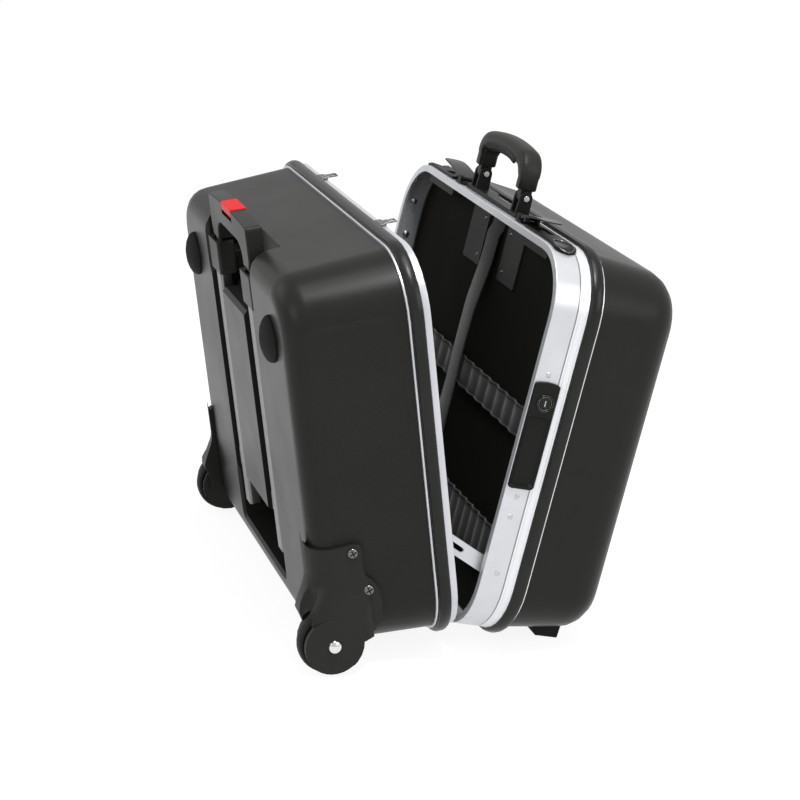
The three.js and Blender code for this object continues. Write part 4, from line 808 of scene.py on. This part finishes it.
def makeLockPlate(look):
    middle = (look["front"] + look["back"]) / 2
    bm = bmesh.new()
    rows = []
    for r in range(look["rows"] + 1):
        share = r / look["rows"]
        eased = share - look["crowding"] * math.sin(math.tau * share) / math.tau
        z = look["low"] + (look["high"] - look["low"]) * eased
        halfWidth = max(plateHalfWidth(z, look), look["leastHalf"])
        row = []
        for k in range(look["across"] + 1):
            y = middle - halfWidth * math.cos(math.pi * k / look["across"])
            row.append(bm.verts.new((plateFace(y, z, halfWidth, look), y, z)))
        row.append(bm.verts.new((look["seat"], middle + halfWidth, z)))
        row.append(bm.verts.new((look["seat"], middle - halfWidth, z)))
        rows.append(row)
    for low, high in zip(rows, rows[1:]):
        for k in range(len(low)):
            n = (k + 1) % len(low)
            bm.faces.new((low[k], low[n], high[n], high[k]))
    bm.faces.new(rows[0])
    bm.faces.new(rows[-1])
    piece = finishPiece("lock_plate_face", bm, frontPlace, "front_half", "fitting", "plate")
    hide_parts("lock_plate")


def ringTube(name, points, radius, material, around=8):
    # a closed thin tube round a loop of points
    bm = bmesh.new()
    count = len(points)
    rows = []
    for k, point in enumerate(points):
        way = (points[(k + 1) % count] - points[k - 1]).normalized()
        side = way.cross(axisZ if abs(way.z) < 0.9 else axisX).normalized()
        up = side.cross(way)
        rows.append([bm.verts.new(point + side * (radius * math.cos(math.tau * n / around))
                                  + up * (radius * math.sin(math.tau * n / around))) for n in range(around)])
    for k in range(count):
        low, high = rows[k], rows[(k + 1) % count]
        for n in range(around):
            bm.faces.new((low[n], low[(n + 1) % around], high[(n + 1) % around], high[n]))
    finishPiece(name, bm, frontPlace, "front_half", material, "ring")


lockLook = {
    "y": 16 * mm, "z": 255 * mm, "face": 245.6 * mm, "slot": 6.0 * mm, "slotWidth": 1.1 * mm,
    "slotDepth": 0.9 * mm, "slotOut": 0.3 * mm,
    "rings": (("outer", 8.4 * mm, 0.9 * mm, 0.5 * mm, "piano"),
              ("middle", 6.6 * mm, 0.4 * mm, 0.5 * mm, "screw"),
              ("inner", 4.2 * mm, 0.4 * mm, 0.6 * mm, "grey")),
}
cupLook = {
    "x": 191.5 * mm, "y": 16 * mm, "long": 15.2 * mm, "wide": 10.0 * mm, "tube": 0.65 * mm, "deep": 2.6 * mm,
    "corner": 61 * mm, "cornerX": 181.5 * mm, "cornerZ": 339 * mm, "grow": 3.0 * mm, "steps": 40, "rings": 7,
    "proud": 0.1 * mm, "wall": 0.5 * mm,
}


def circlePoints(centre, first, second, count=48):
    return [centre + first * math.cos(math.tau * k / count) + second * math.sin(math.tau * k / count)
            for k in range(count)]


def makeLockRings(look):
    centre = Vector((look["face"], look["y"], look["z"]))
    for name, radius, tube, rise, material in look["rings"]:
        points = circlePoints(centre + axisX * rise, axisY * radius, axisZ * radius)
        ringTube("lock_ring_" + name, points, tube, material)
    bm = bmesh.new()
    size = Matrix.Diagonal((look["slotDepth"], look["slotWidth"], look["slot"], 1))
    bmesh.ops.create_cube(bm, size=1, matrix=Matrix.Translation(centre + axisX * look["slotOut"]) @ size)
    finishPiece("lock_key_slot", bm, frontPlace, "lock", "glint", "slot")


def cupTop(x, look):
    # height of the latch base's top, which follows the rim's rounded corner
    if x < look["cornerX"]:
        return look["cornerZ"] + look["corner"] + look["grow"]
    return look["cornerZ"] + math.sqrt((look["corner"] + look["grow"]) ** 2 - (x - look["cornerX"]) ** 2)


def makeCup(side, label, look):
    # a shallow oval dish in the latch base, with a thin rim
    rim = []
    for k in range(look["steps"]):
        angle = math.tau * k / look["steps"]
        x = look["x"] + look["long"] * math.cos(angle)
        rim.append(Vector((side * x, look["y"] + look["wide"] * math.sin(angle), cupTop(x, look))))
    ringTube(f"latch_cup_rim_{label}", rim, look["tube"], "screw")
    bm = bmesh.new()
    rows = []
    for r in range(look["rings"] + 1):
        reach = math.sin(math.pi / 2 * (1 - r / (look["rings"] + 1)))
        row = []
        for k in range(look["steps"]):
            angle = math.tau * k / look["steps"]
            x = look["x"] + look["long"] * reach * math.cos(angle)
            y = look["y"] + look["wide"] * reach * math.sin(angle)
            z = cupTop(x, look) - look["deep"] * math.sqrt(max(1 - reach * reach, 0)) + look["proud"]
            row.append(bm.verts.new((side * x, y, z)))
        rows.append(row)
    under, floor = ([bm.verts.new(vert.co - axisZ * look["wall"]) for vert in row]
                    for row in (rows[0], rows[-1]))
    rows = [floor, under] + rows
    for low, high in zip(rows, rows[1:]):
        for k in range(look["steps"]):
            n = (k + 1) % look["steps"]
            bm.faces.new((low[k], low[n], high[n], high[k]))
    bm.faces.new(rows[0])
    bm.faces.new(rows[-1])
    finishPiece(f"latch_cup_{label}", bm, frontPlace, "front_half", "piano", "dish")


makeLockPlate(plateLook)
makeLockRings(lockLook)
for side, label in bothSides:
    makeCup(side, label, cupLook)
print("lock and cups made")

# Carrying handle: a squarer bar than its solid, on the same legs, pins and grip
carryLook = {
    "legX": 61.5 * mm, "y": 17.5 * mm, "pinZ": 421 * mm, "shoulder": 8 * mm, "legWidth": 15.5 * mm,
    "legDepth": 20 * mm, "gripHeight": 20 * mm, "gripDepth": 25 * mm, "gripZ": 463 * mm, "bend": 18 * mm,
    "slope": 0.16, "legSquare": 4.4, "gripSquare": 2.6, "tongue": 9.4 * mm, "tongueRadius": 6.2 * mm,
    "around": 40, "bendSteps": 12, "archSteps": 10, "footSteps": 3, "footInset": 1.2 * mm, "tongueSteps": 16,
}


def carrySection(bm, centre, tangent, share, inset, look):
    # one ring of the bar: share 0 is the leg's section and 1 the grip's
    width = look["legWidth"] + (look["gripHeight"] - look["legWidth"]) * share - 2 * inset
    depth = look["legDepth"] + (look["gripDepth"] - look["legDepth"]) * math.sqrt(share) - 2 * inset
    power = 2 / (look["legSquare"] + (look["gripSquare"] - look["legSquare"]) * share)
    ring = []
    for k in range(look["around"]):
        angle = math.tau * k / look["around"]
        c, s = math.cos(angle), math.sin(angle)
        out = math.copysign(abs(c) ** power, c) * width / 2
        side = math.copysign(abs(s) ** power, s) * depth / 2
        place = (centre[0] + tangent[1] * out, look["y"] + side, centre[1] - tangent[0] * out)
        ring.append(bm.verts.new(place))
    return ring


def carryPath(look):
    # centre, tangent, share and inset of each ring from the right foot to the top of the arch
    sweep = math.pi / 2 - math.atan(look["slope"])
    archX = look["legX"] - look["bend"] * (1 - math.cos(sweep))
    arch = look["slope"] * archX / 2
    bendZ = look["gripZ"] - arch - look["bend"] * math.sin(sweep)
    foot = look["pinZ"] + look["shoulder"]
    for k in range(look["footSteps"]):
        rise = math.sin(math.pi / 2 * k / look["footSteps"])
        yield (look["legX"], foot + look["footInset"] * rise), (0, 1), 0, look["footInset"] * (1 - rise)
    yield (look["legX"], foot + look["footInset"]), (0, 1), 0, 0
    for k in range(look["bendSteps"] + 1):
        angle = sweep * k / look["bendSteps"]
        centre = (look["legX"] - look["bend"] * (1 - math.cos(angle)), bendZ + look["bend"] * math.sin(angle))
        yield centre, (-math.sin(angle), math.cos(angle)), k / look["bendSteps"], 0
    for k in range(1, look["archSteps"]):
        x = archX * (1 - k / look["archSteps"])
        slope = look["slope"] * x / archX
        long = math.hypot(1, slope)
        yield (x, look["gripZ"] - arch * (x / archX) ** 2), (-1 / long, slope / long), 1, 0


def makeCarryBar(look):
    bm = bmesh.new()
    half = list(carryPath(look))
    rings = [carrySection(bm, *step, look) for step in half]
    rings.append(carrySection(bm, (0, look["gripZ"]), (-1, 0), 1, 0, look))
    for centre, tangent, share, inset in reversed(half):
        rings.append(carrySection(bm, (-centre[0], centre[1]), (tangent[0], -tangent[1]), share, inset, look))
    for low, high in zip(rings, rings[1:]):
        for k in range(look["around"]):
            n = (k + 1) % look["around"]
            bm.faces.new((low[k], low[n], high[n], high[k]))
    bm.faces.new(rings[0])
    bm.faces.new(rings[-1])
    bar = finishPiece("carry_handle_bar", bm, frontPlace, "carrying_handle", "moulding", "bar")
    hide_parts("carry_handle")


def makeCarryTongues(look):
    # the two ears that stand between the forks of the base, round the pins
    r = look["tongueRadius"]
    outline = []
    for k in range(look["tongueSteps"] + 1):
        angle = math.pi * (1 + k / look["tongueSteps"])
        outline.append((look["y"] + r * math.cos(angle), look["pinZ"] + r * math.sin(angle)))
    top = look["pinZ"] + look["shoulder"] + look["footInset"]
    outline += [(look["y"] + r, top), (look["y"] - r, top)]
    for side, label in bothSides:
        bm = bmesh.new()
        low = side * look["legX"] - look["tongue"] / 2
        extruded(bm, [(low, y, z) for y, z in outline], (look["tongue"], 0, 0))
        finishPiece(f"carry_tongue_{label}", bm, frontPlace, "carrying_handle", "moulding", "ear")


makeCarryBar(carryLook)
makeCarryTongues(carryLook)
print("carrying handle made")

# Floor, world and lamps
stageLook = {
    "floorHalf": 12, "floorColor": (0.93, 0.93, 0.93), "seenColor": 0.2, "seenLevel": 0.9, "worldLevel": 0.5,
    "worldMirrored": 0.5, "floorRough": 0.9,
}
lampLooks = {
    "overhead": {"position": (0.35, 0.1, 2.3), "aim": (0.0, 0.0, 0.2), "size": (1.3, 1.0), "power": 20},
    "topStrip": {"position": (0.82, 0.02, 2.05), "aim": (0.2, -0.1, 0.35), "size": (0.42, 0.5), "power": 20},
    "backLeft": {"position": (-1.3, -2.4, 1.6), "aim": (0.0, -0.1, 0.2), "size": (1.8, 1.6), "power": 15},
    "cameraLeft": {"position": (1.5, -2.6, 1.5), "aim": (0.0, 0.0, 0.2), "size": (1.2, 1.0), "power": 15},
    "cameraRight": {"position": (2.2, 1.7, 1.5), "aim": (0.1, 0.1, 0.25), "size": (1.6, 1.4), "power": 19},
}


def makeFloor(look):
    # seen or mirrored it is almost white and keeps the shadow; its own colour lights the object
    bm = bmesh.new()
    bmesh.ops.create_grid(bm, x_segments=1, y_segments=1, size=look["floorHalf"])
    mesh = bpy.data.meshes.new("floor")
    bm.to_mesh(mesh)
    bm.free()
    material, tree, shader = newMaterial("paleFloor")
    shader.inputs["Base Color"].default_value = (*look["floorColor"], 1)
    shader.inputs["Roughness"].default_value = look["floorRough"]
    shader.inputs["Specular IOR Level"].default_value = 0.0
    path = addNode(tree, "ShaderNodeLightPath").outputs
    seen = sums(tree, "MAXIMUM", path["Is Camera Ray"], path["Is Glossy Ray"])
    seen = sums(tree, "MAXIMUM", seen, path["Is Transmission Ray"])
    glowing = {"Color": (1, 1, 1, 1), "Strength": look["seenLevel"]}
    glow = addNode(tree, "ShaderNodeEmission", glowing).outputs[0]
    soft = addNode(tree, "ShaderNodeBsdfDiffuse", {"Color": (*(look["seenColor"],) * 3, 1)}).outputs[0]
    white = addNode(tree, "ShaderNodeAddShader", {0: glow, 1: soft}).outputs[0]
    mixed = addNode(tree, "ShaderNodeMixShader", {0: seen, 1: shader.outputs[0], 2: white}).outputs[0]
    tree.links.new(mixed, tree.nodes["Material Output"].inputs["Surface"])
    mesh.materials.append(material)
    floor = bpy.data.objects.new("floor", mesh)
    scene.collection.objects.link(floor)


def makeWorld(look):
    world = bpy.data.worlds.new("studio")
    scene.world = world
    world.use_nodes = True
    tree = world.node_tree
    background = tree.nodes["Background"]
    path = addNode(tree, "ShaderNodeLightPath").outputs
    mirrored = sums(tree, "MULTIPLY", path["Is Glossy Ray"], look["worldMirrored"])
    seen = sums(tree, "MAXIMUM", path["Is Camera Ray"], mirrored)
    seen = sums(tree, "MAXIMUM", seen, path["Is Transmission Ray"])
    background.inputs["Color"].default_value = (1, 1, 1, 1)
    tree.links.new(remap(tree, seen, look["worldLevel"], 1.0, 0.0, 1.0), background.inputs["Strength"])


def makeLamp(name, look):
    data = bpy.data.lights.new(name, "AREA")
    data.shape = "RECTANGLE"
    data.size, data.size_y = look["size"]
    data.energy = look["power"]
    lamp = bpy.data.objects.new(name, data)
    scene.collection.objects.link(lamp)
    view = Vector(look["aim"]) - Vector(look["position"])
    turn = view.to_track_quat("-Z", "Y").to_matrix().to_4x4()
    lamp.matrix_world = Matrix.Translation(look["position"]) @ turn


makeFloor(stageLook)
makeWorld(stageLook)
for name, look in lampLooks.items():
    makeLamp(name, look)
scene.view_settings.view_transform = "Standard"
print("stage and lamps set")
